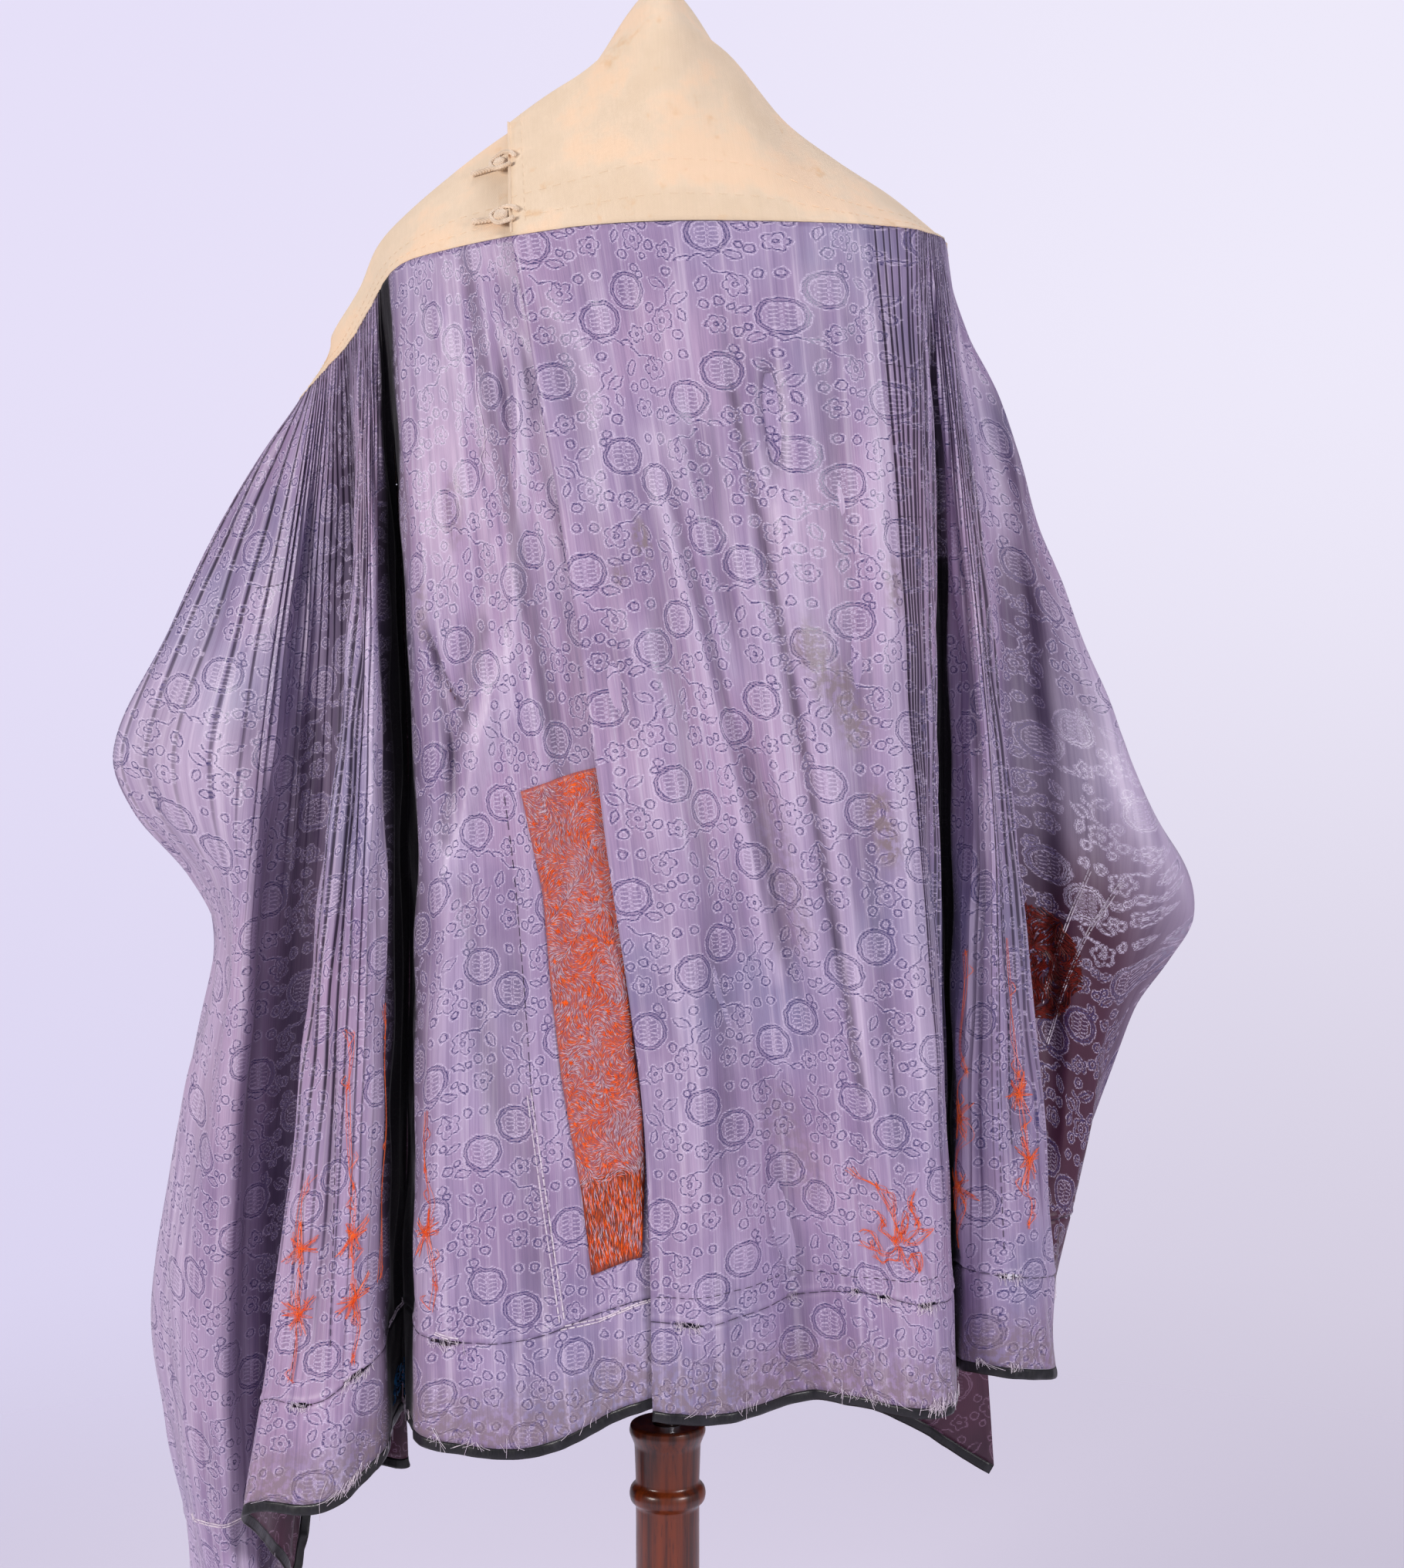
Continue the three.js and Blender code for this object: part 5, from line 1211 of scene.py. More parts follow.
def threads(name, runs, width, material, slot):
    """Fine three-sided threads along runs of (points, normals), all in one mesh."""
    points, faces = [], []
    for run, out in runs:
        along = np.gradient(run, axis=0)
        aside = np.cross(along, out)
        aside /= np.maximum(np.linalg.norm(aside, axis=1, keepdims=True), 1e-9)
        n = len(points)
        for p, s, o in zip(run, aside, out):
            points += [p - s * width / 2, p + s * width / 2, p + o * width * 0.7]
        for k in range(len(run) - 1):
            a, b = n + 3 * k, n + 3 * k + 3
            faces += [(a, b, b + 1, a + 1), (a + 1, b + 1, b + 2, a + 2), (a + 2, b + 2, b, a)]
        last = len(points) - 3
        faces += [(n, n + 1, n + 2), (last, last + 2, last + 1)]
    made = new_object(name, points, faces, material, smooth=False)


# The overlapping end is rolled and hemmed, and two rows of stitching run above the waist seam.
threads("band_end_roll", [(band_outer[1:-1, 0], band_out[1:-1, 0])], 2.2, cotton,
        "waistband_cotton")
band_stitches = []
for row in range(2, 48):
    if row % 2:
        band_stitches.append((band_outer[row:row + 2, 2], band_out[row:row + 2, 2]))
for row in (4, 9):
    for column in range(0, len(band_places) - 2, 2):
        part = slice(column, column + 2)
        band_stitches.append((band_outer[row, part] + band_out[row, part] * 0.1, band_out[row, part]))
threads("band_stitches", band_stitches, 0.5, cotton, "waistband_cotton")


# Applied pieces: an embroidered strip sewn to the left face panel, seen from behind, and half a
# medallion patch of couched thread inside the right wing.
STRIP_ROWS = (
    dict(t=0.447, left=4.81, right=3.95), dict(t=0.534, left=4.68, right=3.95),
    dict(t=0.605, left=4.67, right=3.98), dict(t=0.695, left=4.63, right=4.02),
    dict(t=0.749, left=4.58, right=4.01), dict(t=0.796, left=4.53, right=4.02),
    dict(t=0.872, left=4.48, right=4.07),
)
STRIP_LIFT, APPLIED_THICKNESS, MEDALLION_LIFT = 0.5, 0.9, 1.3
STRIP_BORDER = 290
ORANGE_STITCH, LILAC_STITCH = 0.46, 0.42


def floss(name, code, slub_code):
    """Untwisted silk floss: bright, with the gloss running along the stitches."""
    material, tree = new_material(name)
    place = add(tree, "TexCoord", out=3)
    shade = add(tree, "TexNoise", {0: place, 2: 320.0, 3: 3.0})
    tone = add(tree, "Mix", {
        0: add(tree, "MapRange", (shade, 0.35, 0.65), **SMOOTH),
        6: linear(code), 7: linear(slub_code),
    }, **BLEND)
    finish_material(tree, {
        "Base Color": tone, "Roughness": 0.38, "IOR": 1.54,
        "Sheen Weight": 0.2, "Sheen Roughness": 0.3,
        "Normal": add(tree, "Bump", {"Strength": 0.3, "Distance": 0.0002, "Height": shade}),
    })
    return material


orange_floss = floss("orange_silk_floss", "#FF7420", "#F05A16")
lilac_floss = floss("lilac_silk_floss", "#DCC6D2", "#C0A4B6")


def strip_silk():
    """Ground of the strip: rose satin that shows between the stitches, rust at the lower end."""
    material, tree = new_material("strip_satin")
    weave = add(tree, "Attribute", out=1, attribute_name="weave_mm")
    down = add(tree, "SeparateXYZ", (weave,)).node.outputs[1]
    lower = add(tree, "MapRange", (down, STRIP_BORDER - 2, STRIP_BORDER + 2))
    fleck_space = add(tree, "VectorMath", (weave, (1 / 1.2, 1 / 5, 1.0)), operation="MULTIPLY")
    fleck = add(tree, "TexNoise", {0: fleck_space, 2: 1.0, 3: 3.0})
    fleck = add(tree, "MapRange", (fleck, 0.35, 0.65), **SMOOTH)
    rose = add(tree, "Mix", {0: fleck, 6: linear("#B85A44"), 7: linear("#94505E")}, **BLEND)
    rust = add(tree, "Mix", {0: fleck, 6: linear("#A23C14"), 7: linear("#5E241C")}, **BLEND)
    tone = add(tree, "Mix", {0: lower, 6: rose, 7: rust}, out=2, data_type="RGBA")
    finish_material(tree, {
        "Base Color": tone, "Roughness": 0.4, "IOR": 1.54, "Sheen Weight": 0.15,
        "Sheen Roughness": 0.3,
        "Normal": add(tree, "Bump", {"Strength": 0.5, "Distance": 0.0003, "Height": fleck}),
    })
    return material


def stitches(name, laid, width, material):
    """Many short raised stitches as one mesh: each is a small ridge from one point to another."""
    points, faces = [], []
    for start, end, out in laid:
        along = end - start
        aside = np.cross(along, out)
        aside = aside / max(np.linalg.norm(aside), 1e-6) * width / 2
        n = len(points)
        middle = (start + end) / 2
        points += [start, middle + aside, middle + out * width * 0.6, middle - aside, end]
        faces += [(n, n + 1, n + 2), (n, n + 2, n + 3), (n + 4, n + 2, n + 1), (n + 4, n + 3, n + 2),
                  (n, n + 3, n + 1), (n + 4, n + 1, n + 3)]
    made = new_object(name, points, faces, material, smooth=False)
    return made


def strip_grid(length, rows, columns, row_steps, lift):
    """A grid on the cloth between the left and right places given for each share."""
    ts = np.linspace(rows[0]["t"], rows[-1]["t"], row_steps)
    left = np.interp(ts, [r["t"] for r in rows], [r["left"] for r in rows])
    right = np.interp(ts, [r["t"] for r in rows], [r["right"] for r in rows])
    grid, outs = [], []
    for t, a, b in zip(ts, left, right):
        places = np.linspace(a, b, columns)
        order = np.argsort(places)
        fine_shares = np.array([t - 0.002, t, t + 0.002])
        points = cloth_points(length.lines, places[order], fine_shares)
        out = normals(points, length.turn)[1]
        rise = length.rise(places[order], np.array([t]))[0]
        row = points[1] + out * (rise + lift)[:, None]
        back = np.argsort(order)
        grid.append(row[back])
        outs.append(out[back])
    return np.array(grid), np.array(outs)


strip_outer, strip_out = strip_grid(under_length, STRIP_ROWS, 14, 90, STRIP_LIFT + APPLIED_THICKNESS)
strip_inner = strip_outer - strip_out * APPLIED_THICKNESS
strip_u = np.repeat(np.linspace(0, 45, 14)[None, :], 90, 0)
strip_v = np.repeat(np.linspace(0, 360, 90)[:, None], 14, 1)
strip = shell("embroidered_strip_ground", strip_outer, strip_inner, -1, strip_silk(),
              (strip_u, strip_v))
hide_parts("embroidered_strip")


def strip_stitches():
    """Back of long-and-short embroidery: fans of loose floss, orange over lilac."""
    rng = np.random.default_rng(31)
    laid = {"orange": [], "lilac": []}
    rows, columns = strip_outer.shape[:2]
    for _ in range(9000):
        r, c = rng.uniform(0.5, rows - 2), rng.uniform(0.3, columns - 1.3)
        i, j = int(r), int(c)
        centre = strip_outer[i, j] * (1 - (c - j)) + strip_outer[i, j + 1] * (c - j)
        centre = centre + (strip_outer[i + 1, j] - strip_outer[i, j]) * (r - i)
        out = strip_out[i, j]
        down = strip_outer[i + 1, j] - strip_outer[i, j]
        down /= np.linalg.norm(down)
        side = np.cross(out, down)
        x, z = centre[0], centre[2]
        angle = 1.5 * math.sin(z / 11 + math.sin(x / 7)) + 1.2 * math.cos(x / 8 - z / 27)
        angle += rng.normal(0, 0.2)
        half = rng.uniform(1.2, 3.0)
        warmth = math.sin(z / 19 + 1) * math.cos(x / 9) + 0.6 * math.sin(z / 7 - x / 5)
        warm = rng.random() < 0.33 + 0.28 * warmth
        if i * 360 / rows > STRIP_BORDER:
            angle = rng.normal(0.05, 0.12)
            half = rng.uniform(2.5, 5.0)
            warm = rng.random() < 0.6
            if rng.random() < 0.45:
                continue
        direction = down * math.cos(angle) + side * math.sin(angle)
        lift = out * rng.uniform(0.05, 0.5)
        kind = "orange" if warm else "lilac"
        laid[kind].append((centre - direction * half + lift, centre + direction * half + lift, out))
    for _ in range(90):
        i, j = rng.integers(1, int(rows * 0.8)), rng.integers(1, columns - 2)
        centre, out = strip_outer[i, j], strip_out[i, j]
        down = strip_outer[i + 1, j] - strip_outer[i, j]
        down /= np.linalg.norm(down)
        side = np.cross(out, down)
        for _ in range(9):
            angle = rng.normal(0.4, 0.5)
            direction = down * math.cos(angle) + side * math.sin(angle)
            middle = centre + side * rng.normal(0, 0.9) + down * rng.normal(0, 0.9) + out * 0.7
            laid["orange"].append((middle - direction * 1.8, middle + direction * 1.8, out))
    for kind, material in (("orange", orange_floss), ("lilac", lilac_floss)):
        width = ORANGE_STITCH if kind == "orange" else LILAC_STITCH
        stitches("embroidery_" + kind + "_stitches", laid[kind], width, material)


strip_stitches()

medallion_centre = dict(t=0.652, place=12.05)
medallion_rows = []
for i in range(25):
    angle = math.pi * (-0.46 + 0.92 * i / 24)
    half = math.cos(angle) * 0.9
    medallion_rows.append(dict(t=medallion_centre["t"] + math.sin(angle) * 0.06,
                               left=medallion_centre["place"] - half,
                               right=medallion_centre["place"] + half))


def couched_silk():
    """Medallion: laid threads of dark red, held by rows of fine couching, with a worn gold edge."""
    material, tree = new_material("couched_silk")
    weave = add(tree, "Attribute", out=1, attribute_name="weave_mm")
    thread_space = add(tree, "VectorMath", (weave, (1 / 1.3, 1 / 14, 1.0)), operation="MULTIPLY")
    thread = add(tree, "TexNoise", {0: thread_space, 2: 1.0, 3: 3.0})
    centre = add(tree, "VectorMath", (weave, (30, 48, 0)), operation="SUBTRACT")
    r = add(tree, "VectorMath", (centre,), out=1, operation="LENGTH")
    rings = add(tree, "Math", (r, 0.9), operation="MULTIPLY")
    rings = add(tree, "Math", (rings,), operation="SINE")
    tone = add(tree, "Mix", {
        0: add(tree, "MapRange", (thread, 0.35, 0.65), **SMOOTH),
        6: linear("#6E2218"), 7: linear("#42131C"),
    }, **BLEND)
    tone = add(tree, "Mix", {
        0: add(tree, "MapRange", (rings, 0.5, 0.9, 0.0, 0.55), **SMOOTH),
        6: tone, 7: linear("#A3562B"),
    }, **BLEND)
    finish_material(tree, {
        "Base Color": tone, "Roughness": 0.4, "IOR": 1.54, "Sheen Weight": 0.2,
        "Sheen Roughness": 0.3,
        "Normal": add(tree, "Bump", {"Strength": 0.6, "Distance": 0.0005, "Height": thread}),
    })
    return material


patch_lift = -SILK_THICKNESS - MEDALLION_LIFT
medal_outer, medal_out = strip_grid(outer_length, medallion_rows, 20, 40, patch_lift)
medal_inner = medal_outer - medal_out * APPLIED_THICKNESS
medal_u = np.repeat(np.linspace(0, 60, 20)[None, :], 40, 0)
medal_v = np.repeat(np.linspace(0, 96, 40)[:, None], 20, 1)
medal = shell("medallion_couching", medal_outer, medal_inner, -1, couched_silk(), (medal_u, medal_v))
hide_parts("medallion_patch")


# Knot buttons: cotton cord worked into a ball, its tails stitched flat to the band, with a cord
# loop from the overlapping end round each ball.
KNOTS = (dict(name="upper", share=0.36, step=7.4, tail=17, fall=7),
         dict(name="lower", share=0.085, step=5.2, tail=17, fall=3))
KNOT_RADIUS, KNOT_FLATNESS, KNOT_FROM_EDGE, CORD_RADIUS, CORD_GAP = 5.5, 0.8, 0.12, 1.4, 0.6
TAIL_RADIUS, LOOP_END, BALL_RINGS = 1.8, 13, 36


def tube(name, points, radius, material, out):
    """A round cord along a smooth path through the points, with closed ends."""
    points = np.array(points, float)
    count = (len(points) - 1) * 8 + 1
    path = across(points[:, None, :], np.linspace(0, len(points) - 1, count))[:, 0]
    tangent = np.gradient(path, axis=0)
    tangent /= np.linalg.norm(tangent, axis=1, keepdims=True)
    side = np.cross(tangent, np.asarray(out, float))
    side /= np.linalg.norm(side, axis=1, keepdims=True)
    up = np.cross(side, tangent)
    turns = np.linspace(0, 2 * math.pi, 12, endpoint=False)
    size = np.full(len(path), radius)
    size[0] = size[-1] = radius * 0.6
    ring = [p + s * math.cos(a) * r + u * math.sin(a) * r
            for p, s, u, r in zip(path, side, up, size) for a in turns]
    n = len(turns)
    faces = [(k * n + i, k * n + (i + 1) % n, (k + 1) * n + (i + 1) % n, (k + 1) * n + i)
             for k in range(len(path) - 1) for i in range(n)]
    faces += [tuple(range(n - 1, -1, -1)), tuple((len(path) - 1) * n + i for i in range(n))]
    made = new_object(name, ring, faces, material)
    return made


def cotton_cord():
    """Twisted cotton cord: cream, with slanting plies, painted shade in the grooves between them, and grey
    handling marks.
    """
    material, tree = new_material("cotton_cord")
    place = add(tree, "TexCoord", out=3)
    plies = add(tree, "TexWave", {0: place, 1: 330.0, 2: 1.2, 3: 2.0},
                wave_type="BANDS", bands_direction="DIAGONAL")
    dirt = add(tree, "TexNoise", {0: place, 2: 90.0, 3: 4.0})
    tone = add(tree, "Mix", {
        0: add(tree, "MapRange", (dirt, 0.4, 0.7), **SMOOTH),
        6: linear("#F0DAC2"), 7: linear("#DCC2A6"),
    }, **BLEND)
    # Painted shade in the grooves between the plies
    tone = add(tree, "Mix", {
        0: add(tree, "MapRange", (plies, 0.0, 0.3, 0.3, 0.0), **SMOOTH),
        6: tone, 7: linear("#B89E84"),
    }, **BLEND)
    finish_material(tree, {
        "Base Color": tone, "Roughness": 0.8, "IOR": 1.5, "Sheen Weight": 0.2,
        "Sheen Roughness": 0.5,
        "Normal": add(tree, "Bump", {"Strength": 0.8, "Distance": 0.0006, "Height": plies}),
    })
    return material


cord_cotton = cotton_cord()
under_end = [rib["line"] for rib in BAND_RIBS].index("under free edge")


def knot_button(knot):
    """One ball button with its tail and loop, set on the under end of the band."""
    place = under_end - KNOT_FROM_EDGE
    near = Band([place - 0.05, place, place + 0.05])
    s = knot["share"]
    patch = near.points([s - 0.01, s, s + 0.01])
    out = normals(patch, 1)[1, 1]
    up = np.array([0, 0, 1.0]) - out * out[2]
    up /= np.linalg.norm(up)
    right = np.cross(up, out)
    base = patch[1, 1]

    def at(x, y, lift):
        """A point beside the ball, in millimetres right, up and out."""
        return base + right * x + up * y + out * lift

    name = knot["name"]
    ball_lift = KNOT_RADIUS * KNOT_FLATNESS + CORD_GAP
    points, faces = [], []
    for i in range(BALL_RINGS + 1):
        tilt = math.pi * i / BALL_RINGS
        for j in range(BALL_RINGS * 2):
            a = math.pi * j / BALL_RINGS
            cords = math.sin(3 * a + 4 * tilt) * math.sin(3 * a - 4 * tilt) * math.sin(tilt)
            r = KNOT_RADIUS * (1.0 + 0.07 * cords)
            points.append(at(r * math.sin(tilt) * math.cos(a), r * math.sin(tilt) * math.sin(a),
                             ball_lift + r * KNOT_FLATNESS * math.cos(tilt)))
    around = BALL_RINGS * 2
    for i in range(BALL_RINGS):
        for j in range(around):
            k = (j + 1) % around
            faces.append((i * around + j, (i + 1) * around + j, (i + 1) * around + k,
                          i * around + k))
    ball = new_object(name + "_knot_ball", points, faces, cord_cotton)
    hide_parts(name + "_knot_button")
    tail_start, tail_lift = -KNOT_RADIUS - CORD_GAP + 1.5, TAIL_RADIUS + CORD_GAP
    run = [at(tail_start - f * (knot["tail"] + 1.5), -f * knot["fall"], tail_lift)
           for f in (0, 0.25, 0.5, 0.75, 1)]
    tail = tube(name + "_knot_cord_tail", run, TAIL_RADIUS + 0.4, cord_cotton, out=out)
    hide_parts(name + "_knot_tail")
    on_band = knot["step"] + CORD_RADIUS + CORD_GAP
    over = tail_lift + TAIL_RADIUS + CORD_RADIUS + CORD_GAP
    side = KNOT_RADIUS + CORD_RADIUS + CORD_GAP
    high = max(ball_lift, on_band - 1)
    way = [at(LOOP_END, side * 0.45, on_band), at(side, side * 0.9, on_band), at(0, side, high),
           at(-side, 0, over), at(0, -side, high), at(side, -side * 0.9, on_band),
           at(LOOP_END, -side * 0.45, on_band)]
    loop = tube(name + "_knot_cord_loop", way, CORD_RADIUS + 0.3, cord_cotton, out=out)
    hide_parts(name + "_knot_loop")


for knot in KNOTS:
    knot_button(knot)


# Sewing and loose threads: the backs of floss sprays worked along the pleats, seams in running
# stitch, lines of couched white thread, and silk frayed out of the tears and raw hems.
pale_thread = floss("undyed_silk_thread", "#E9DFE6", "#C9BACB")
dark_thread = floss("indigo_silk_thread", "#2B2440", "#1A1626")
blue_floss = floss("blue_silk_floss", "#14669A", "#0B4470")
red_floss = floss("dark_red_silk_floss", "#7A1D12", "#4A0F0C")
spray_rng = np.random.default_rng(77)
orange_runs = []


def loose_line(length, place, share, way, count, spread):
    """A few threads that wander along the same way over the cloth."""
    for _ in range(count):
        moved = [(x + spray_rng.normal(0, spread), y + spray_rng.normal(0, spread)) for x, y in way]
        lift = spray_rng.uniform(0.3, 0.9)
        orange_runs.append(length.trail(place, share, moved, lift))


def flower_back(length, place, share, x, y, reach):
    """Long loose loops out of one point, as on the back of a floss flower."""
    for k in range(7):
        angle = 2 * math.pi * k / 7 + spray_rng.normal(0, 0.2)
        r = reach * spray_rng.uniform(0.75, 1.5)
        c, s = math.cos(angle) * 0.75, math.sin(angle)
        way = [(x, y), (x + (c - 0.15 * s) * r, y + (s + 0.15 * c) * r), (x + 0.3, y + 0.3)]
        loose_line(length, place, share, way, 3, 1.7)
    knot_back(length, place, share, x, y)


def knot_back(length, place, share, x, y):
    """A small tangle of floss where a thread was fastened off."""
    for _ in range(6):
        dx, dy = spray_rng.normal(0, 1.3, 2)
        way = [(x + dx, y + dy - 2.4), (x - dx * 0.5, y), (x - dx, y - dy + 2.4)]
        loose_line(length, place, share, way, 1, 0.3)


# Sprays that climb the pleats: a place (fold line, share), the stem as (right, down) offsets in
# millimetres, and which of its points carry a flower or a knot
SPRIGS = (
    dict(length=under_length, place=9.75, share=0.888, flowers=(8, 10), knots=(3, 6, 12),
         stem=((-10.6, -243), (-5, -230), (-3, -211), (-3.7, -201), (0, -166), (1.6, -140),
               (4.2, -127), (5.8, -110), (5.3, -92), (6.4, -71), (9, -44.5), (12.2, -23), (9.5, 0))),
    dict(length=under_length, place=10.54, share=0.892, flowers=(3, 5), knots=(2, 4),
         stem=((2.6, -147), (-3.7, -132), (-3.7, -111), (-2.6, -95), (-1.6, -77), (0.5, -48),
               (3.2, -26.5), (3.2, 1))),
    dict(length=under_length, place=8.88, share=0.734, flowers=(), knots=(1, 2, 4),
         stem=((-7.4, -114), (-4.2, -90), (-2, -69), (-1.6, -5), (-2, 32), (-5.3, 85))),
    dict(length=under_length, place=6.75, share=0.753, flowers=(4,), knots=(2, 6),
         stem=((-1, -33), (-3, -10.6), (-2, 8), (3.2, 32), (-0.5, 53), (3.2, 74), (5.8, 90),
               (3.2, 108))),
    dict(length=outer_length, place=7.88, share=0.896, flowers=(6, 9), knots=(0, 3, 10, 12),
         stem=((2.6, -220), (3.7, -201), (0, -151), (9, -133), (1.6, -119), (2, -106), (1.6, -98),
               (9, -87), (0.5, -71.5), (1, -46.6), (7.4, -35), (2.6, -21), (-2.6, -2.6))),
    dict(length=outer_length, place=9.46, share=0.807, flowers=(4, 6), knots=(3, 5, 9),
         stem=((-6.4, -161), (-5, -120), (-4.8, -93), (-1.6, -62), (-1.6, -48.8), (1, -23.9),
               (1.6, 1), (-4.8, 24.4), (1.6, 32), (-1.6, 49))),
)
for sprig in SPRIGS:
    spot = sprig["length"], sprig["place"], sprig["share"]
    loose_line(*spot, sprig["stem"], 3, 1.8)
    for k, (x, y) in enumerate(sprig["stem"]):
        if k in sprig["flowers"]:
            flower_back(*spot, x, y, 13)
        elif k in sprig["knots"]:
            knot_back(*spot, x, y)
        if k % 2:
            side = 7 if k % 4 == 1 else -7
            loose_line(*spot, [(x, y), (x + side * 0.8, y - 6), (x + side * 0.4, y - 10)], 2, 0.6)

# The large spray low on the front right panel
FRONT_SPRAY = (
    ((0, 0), (1, -9), (-1, -16.7), (1.6, -23), (-1.6, -33), (-6.7, -38), (-10.6, -38.5)),
    ((-10.6, -38.5), (-17, -40.4), (-23.4, -42.4), (-30, -48.8)),
    ((-9.3, -35.3), (-2.2, -19.3)),
    ((0, 0), (-4.8, -3.9), (-11.2, -7.7), (-8, -12.8), (-10.6, -18.6), (-13.5, -18.3)),
    ((0, 0), (6, -6.4), (6, -14), (10, -20.5), (9, -12), (6, -4.5)),
    ((4.8, 0), (15, -6.4), (18.3, -11), (15, -19.3), (13.2, -24.4), (13.8, -30.8), (17.3, -36)),
    ((19, -9.6), (28.6, -7.7), (24.7, -4.5), (12.5, 0), (4.8, 0)),
    ((1, 3.9), (-4.2, 8.3), (-10.6, 11), (-17, 8.3), (-21.5, 7), (-26, 4.5)),
    ((-17, 8.3), (-17.7, 1.3)),
    ((-12.5, 9.6), (-16.4, -3.9), (-22.2, -5.1), (-23.4, -2.6)),
    ((-17, 12.2), (-11.9, 16.7), (-6.7, 15.4), (1, 12.8), (1.6, 3.9)),
    ((3.5, 3.9), (6, 14.8), (10.6, 21)),
    ((6.7, 14.8), (10.6, 9), (15, 16), (15.7, 21.8)),
    ((9.3, 9), (17, 8.3), (17.7, 16), (15.4, 21.8)),
)
front_spray_spot = outer_length, 3.79, 0.853
for way in FRONT_SPRAY:
    loose_line(*front_spray_spot, way, 4, 1.3)
for x, y in ((-10.6, -38.5), (-0.5, 0), (-2, -2), (1, -9), (4, -4), (14, -25), (17, -14), (-9, -12)):
    knot_back(*front_spray_spot, x, y)
threads("spray_threads", orange_runs, 0.3, orange_floss, "silk_embroidery")


def running_stitch(length, start, end, stitch, gap, lift=0.25):
    """Short runs along a straight seam between two places of the cloth."""
    (p0, t0), (p1, t1) = start, end
    a, _ = length.on_cloth(p0, t0)
    b, _ = length.on_cloth(p1, t1)
    reach = float(np.linalg.norm(length.across_mm([p1]) - length.across_mm([p0])))
    reach = max(math.hypot(reach, (t1 - t0) * PANEL_HEIGHT), 1)
    runs = []
    s = 0.0
    while s + stitch < reach:
        steps = np.linspace(s, s + stitch, 4) / reach
        found = [length.on_cloth(p0 + (p1 - p0) * f, t0 + (t1 - t0) * f, lift) for f in steps]
        runs.append((np.array([p for p, _ in found]), np.array([o for _, o in found])))
        s += (stitch + gap) * spray_rng.uniform(0.85, 1.15)
    return runs


# Running stitch in dark silk: the seams that show as broken lines
DARK_SEAMS = (
    (under_length, (5.0, 0.448), (4.96, 0.517), 6, 3),
    (under_length, (4.96, 0.517), (4.88, 0.695), 6, 3), (under_length, (4.88, 0.695), (4.75, 0.85), 6, 3),
    (under_length, (10.2, 0.6), (9.95, 0.87), 5, 3), (under_length, (10.65, 0.7), (10.5, 0.9), 5, 3),
    (outer_length, (8.9, 0.6), (8.9, 0.9), 5, 3), (outer_length, (9.3, 0.55), (9.2, 0.8), 5, 3),
    (outer_length, (0.1, 0.899), (1.9, 0.892), 4, 3), (outer_length, (1.9, 0.892), (4.9, 0.886), 4, 3),
    (under_length, (12.5, 0.077), (13.9, 0.077), 1.6, 2),
    (under_length, (12.5, 0.154), (14.3, 0.15), 1.6, 2),
    (outer_length, (5.1, 0.115), (6.0, 0.118), 1.6, 2), (outer_length, (5.1, 0.24), (6.0, 0.24), 1.6, 2),
)
dark_runs = []
for length, start, end, stitch, gap in DARK_SEAMS:
    dark_runs += running_stitch(length, start, end, stitch, gap)
for length, seam in ((outer_length, OUTER_SEAM), (under_length, UNDER_SEAM)):
    for start, end in zip(seam[:-1], seam[1:]):
        dark_runs += running_stitch(length, start, end, 7, 2)
threads("seam_stitches", dark_runs, 0.5, dark_thread, "silk_damask")

# Couched white thread: the corner below the strip, a short tape, the two lines on the right wing
WHITE_LINES = (
    (under_length, ((4.9, 0.7), (4.71, 0.905))), (under_length, ((4.71, 0.907), (4.42, 0.915))),
    (under_length, ((4.42, 0.915), (3.8, 0.912))), (under_length, ((6.45, 0.905), (5.8, 0.909))),
    (under_length, ((8.6, 0.9), (7.8, 0.905))),
    (under_length, ((14.7, 0.885), (13.1, 0.89))),
    (outer_length, ((13.25, 0.552), (12.2, 0.7))), (outer_length, ((13.7, 0.557), (12.25, 0.745))),
)
pale_runs = []
couched = []
for length, (start, end) in WHITE_LINES:
    for shift in (-0.0009, 0.0009):
        moved = (start[0] + shift * 20, start[1] + shift), (end[0] + shift * 20, end[1] + shift)
        couched += running_stitch(length, *moved, 5, 0.6)
threads("couched_white_threads", couched, 1.1, pale_thread, "silk_damask")


def fray(length, place, share, reach, lean):
    """One thread that has worked loose from a raw edge and hangs down over the cloth."""
    way = [(0, -1), (lean * 0.4, reach * 0.4), (lean * spray_rng.uniform(0.2, 1.6), reach)]
    return length.trail(place, share, way, spray_rng.uniform(0.3, 1.6))


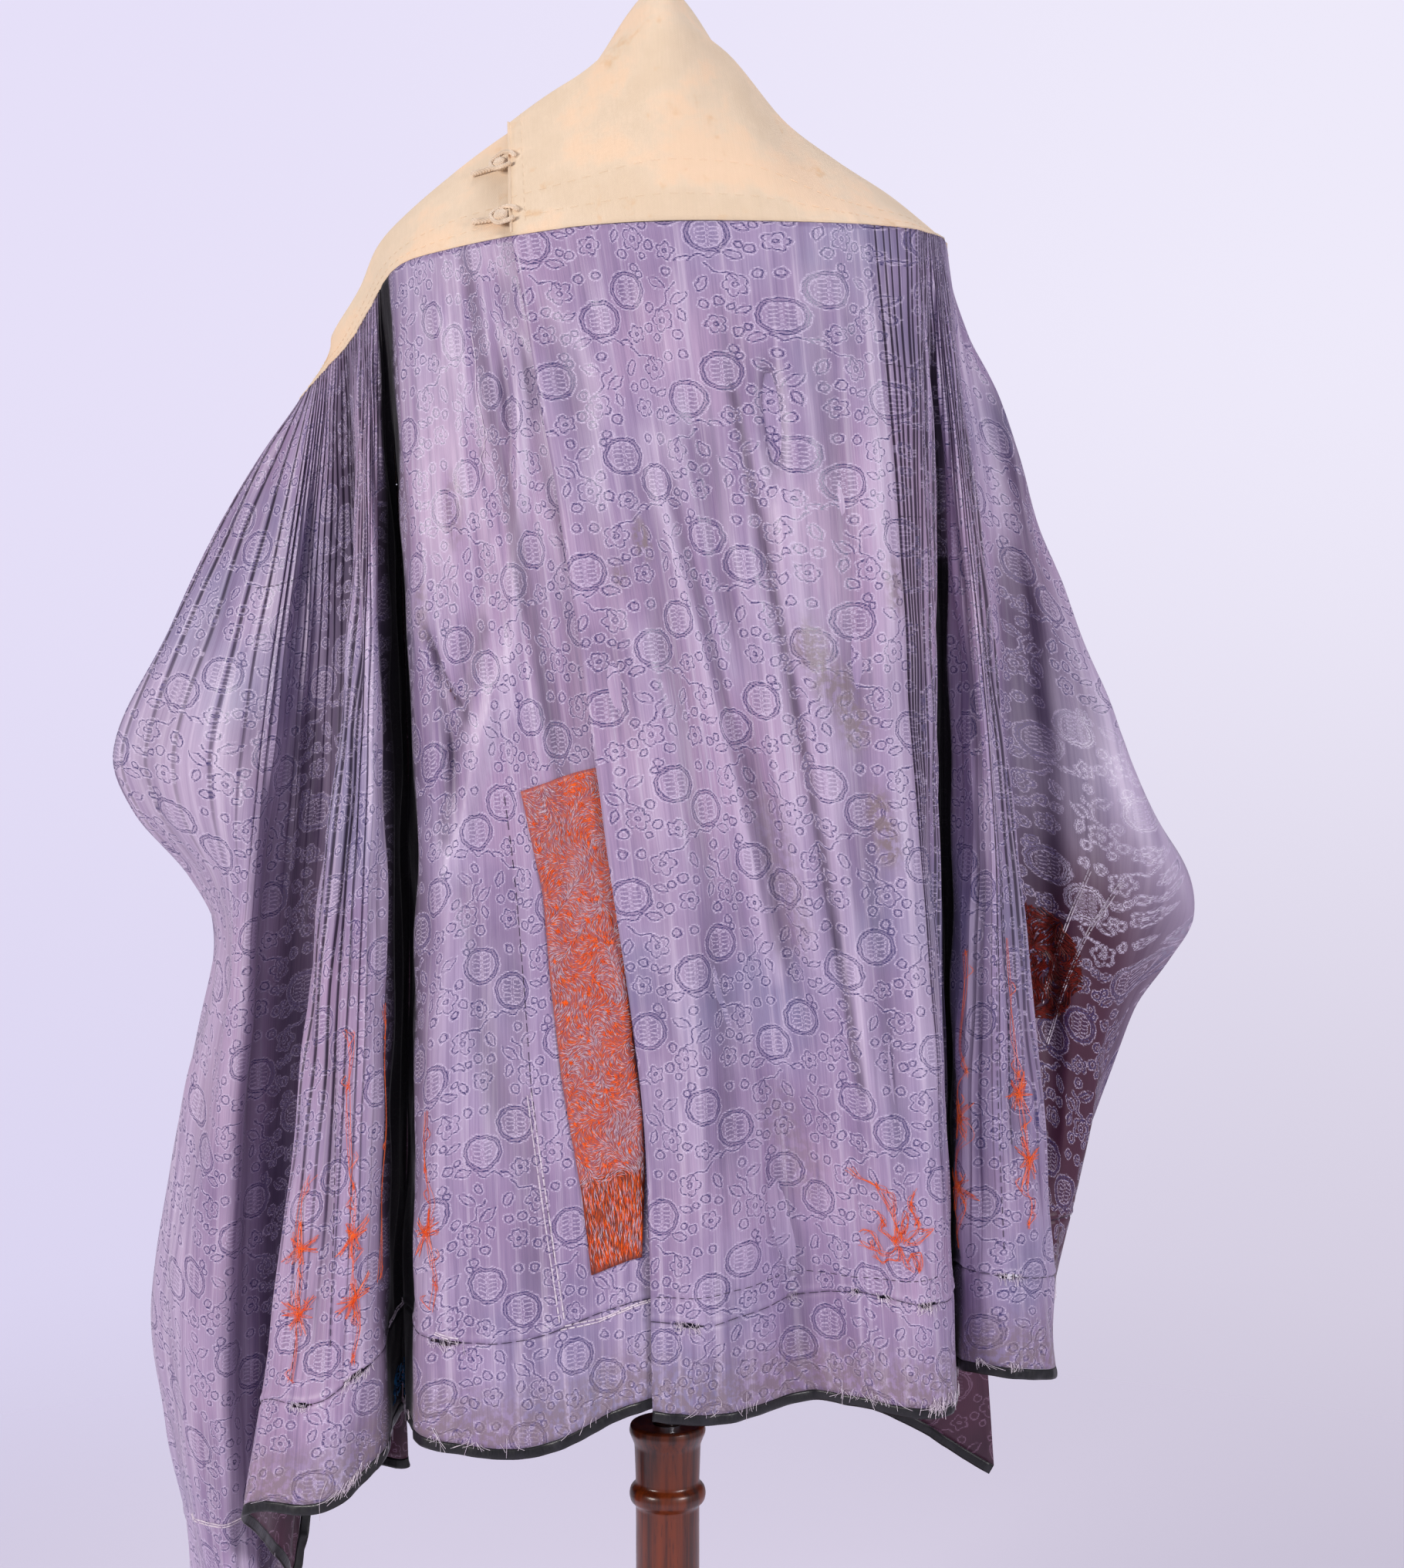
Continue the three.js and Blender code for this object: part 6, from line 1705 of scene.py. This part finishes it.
dark_frays = []
for panel in PANELS:
    length = panel["length"]
    for place, share, width, _, _ in panel["tears"]:
        middle = length.across_mm([place])[0]
        for _ in range(int(width * 1.6)):
            aside = middle + spray_rng.uniform(-0.5, 0.5) * width
            at = float(np.interp(aside, length.width, length.fine))
            edge = share + spray_rng.choice([-0.0025, 0.0025])
            reach, lean = spray_rng.uniform(1.5, 6), spray_rng.normal(0, 2.5)
            pale_runs.append(fray(length, at, edge, reach, lean))
        for _ in range(int(width * 0.9)):
            aside = middle + spray_rng.uniform(-0.4, 0.4) * width
            at = float(np.interp(aside, length.width, length.fine))
            way = [(0, -3.2), (spray_rng.normal(0, 1), 0), (spray_rng.normal(0, 1), 3.2)]
            dark_frays.append(length.trail(at, share, way, -SILK_THICKNESS - 0.8))
    last = panel["first"] + len(panel["spans"])
    tufts = spray_rng.uniform(panel["first"], last, 14)
    for _ in range(90):
        at = float(np.clip(spray_rng.choice(tufts) + spray_rng.normal(0, 0.09), panel["first"], last))
        reach, lean = 2 + spray_rng.exponential(3.5), spray_rng.normal(0, 5)
        pale_runs.append(fray(length, at, 1 - 0.5 * reach / PANEL_HEIGHT, reach, lean))
threads("pale_threads", pale_runs, 0.32, pale_thread, "silk_damask")
threads("torn_lining_threads", dark_frays, 0.9, dark_thread, "silk_damask")

# Longer loose threads, half a floss medallion on the right wing, and blue petals in the left fold
tangle = []
for way in (((0, 0), (2, 18), (-1, 40), (3, 62), (0, 84)), ((2, 60), (6, 70), (0, 76), (5, 84)),
            ((0, 78), (-5, 84), (-2, 90), (-7, 98))):
    tangle.append(under_length.trail(4.78, 0.07, way, 0.8))
threads("loose_threads", tangle, 0.4, pale_thread, "silk_damask")
disc = []
for _ in range(1300):
    angle, r = spray_rng.uniform(0, 2 * math.pi), 46 * math.sqrt(spray_rng.random())
    x, y = r * math.cos(angle) * 0.8, r * math.sin(angle)
    curl = angle + math.sin(x / 6) * 1.2 + math.cos(y / 7)
    half = spray_rng.uniform(2, 4)
    way = [(x - math.cos(curl) * half, y - math.sin(curl) * half), (x, y),
           (x + math.cos(curl) * half, y + math.sin(curl) * half)]
    disc.append(outer_length.trail(11.95, 0.66, way, spray_rng.uniform(0.3, 0.8)))
threads("medallion_back_threads", disc, 1.0, red_floss, "medallion_silk")
petals = []
for _ in range(80):
    x, y = spray_rng.uniform(-12, 12), spray_rng.uniform(-10, 12)
    angle = spray_rng.uniform(0, 2 * math.pi)
    way = [(x, y), (x + math.cos(angle) * 4, y + math.sin(angle) * 4)]
    petals.append(under_length.trail(8.05, 0.975, way, 0.5))
threads("blue_petal_threads", petals, 0.8, blue_floss, "silk_embroidery")


# Studio: a pale floor that fades into lavender air, a large soft box on each side and a weak one
# above. None of it belongs to the object.
FLOOR_RADIUS = 2400
floor_rim = [(FLOOR_RADIUS * math.cos(a), FLOOR_RADIUS * math.sin(a), 0)
             for a in np.linspace(0, 2 * math.pi, 96, endpoint=False)]


def floor_paper():
    """Matt paper whose tone gives way to the air round it, so that no edge shows."""
    material, tree = new_material("floor_paper")
    place = add(tree, "TexCoord", out=3)
    away = add(tree, "VectorMath", (place,), out=1, operation="LENGTH")
    solid = add(tree, "MapRange", (away, 0.5, 2.2, 1.0, 0.0), **SMOOTH)
    cloud = add(tree, "TexNoise", {0: place, 2: 1.2, 3: 2.0})
    tone = add(tree, "Mix", {0: cloud, 6: linear("#E8E2F4"), 7: linear("#EEE9F8")}, **BLEND)
    finish_material(tree, {"Base Color": tone, "Roughness": 0.9, "Alpha": solid})
    return material


new_object("studio_floor", floor_rim, [tuple(range(96))], floor_paper())


def soft_box(name, place, aim, size, watts, code):
    """A large square light aimed at a point."""
    light = bpy.data.lights.new(name, "AREA")
    light.shape = "SQUARE"
    light.size = size
    light.energy = watts
    light.color = linear(code)[:3]
    made = bpy.data.objects.new(name, light)
    made.location = place
    direction = np.array(aim) - np.array(place)
    flat = math.hypot(direction[0], direction[1])
    made.rotation_euler = (math.atan2(flat, -direction[2]), 0,
                           math.atan2(direction[1], direction[0]) - math.pi / 2)
    bpy.context.collection.objects.link(made)


soft_box("key_left", (-2.7, -2.3, 1.9), (0, 0, 0.9), 1.1, 98, "#FFFAF6")
soft_box("fill_right", (2.6, -2.4, 1.9), (0, 0, 0.95), 1.1, 70, "#FFFDFF")
soft_box("top", (0, 0.9, 3.4), (0, 0.1, 0.9), 1.8, 26, "#FFFFFF")
bpy.context.scene.view_settings.view_transform = "Standard"
world = bpy.data.worlds.new("studio_air")
world.use_nodes = True
bpy.context.scene.world = world
air = world.node_tree
air.nodes.clear()
# The air seen straight from the camera is painted darker low down, most of all at the lower right, as
# painted shade on the backdrop; the air that lights the scene is even
sideways, _, upward = add(air, "SeparateXYZ", (add(air, "TexCoord", out=0),)).node.outputs
rightness = add(air, "MapRange", (sideways, -0.2, 0.2), **SMOOTH)
height = add(air, "MapRange", (upward, -0.36, 0.0), **SMOOTH)
low = add(air, "Mix", {0: rightness, 6: linear("#DAD4F0"), 7: linear("#D2CBDE")}, **BLEND)
high = add(air, "Mix", {0: rightness, 6: linear("#E6E0F8"), 7: linear("#EEEAFA")}, **BLEND)
seen = add(air, "Mix", {0: height, 6: low, 7: high}, out=2, data_type="RGBA")
light = add(air, "Background", (linear("#E8E3F4"), 0.38))
shown = add(air, "Background", (seen, 1.0))
straight = add(air, "LightPath")
mixed = add(air, "MixShader", (straight, light, shown))
add(air, "OutputWorld", (mixed,))
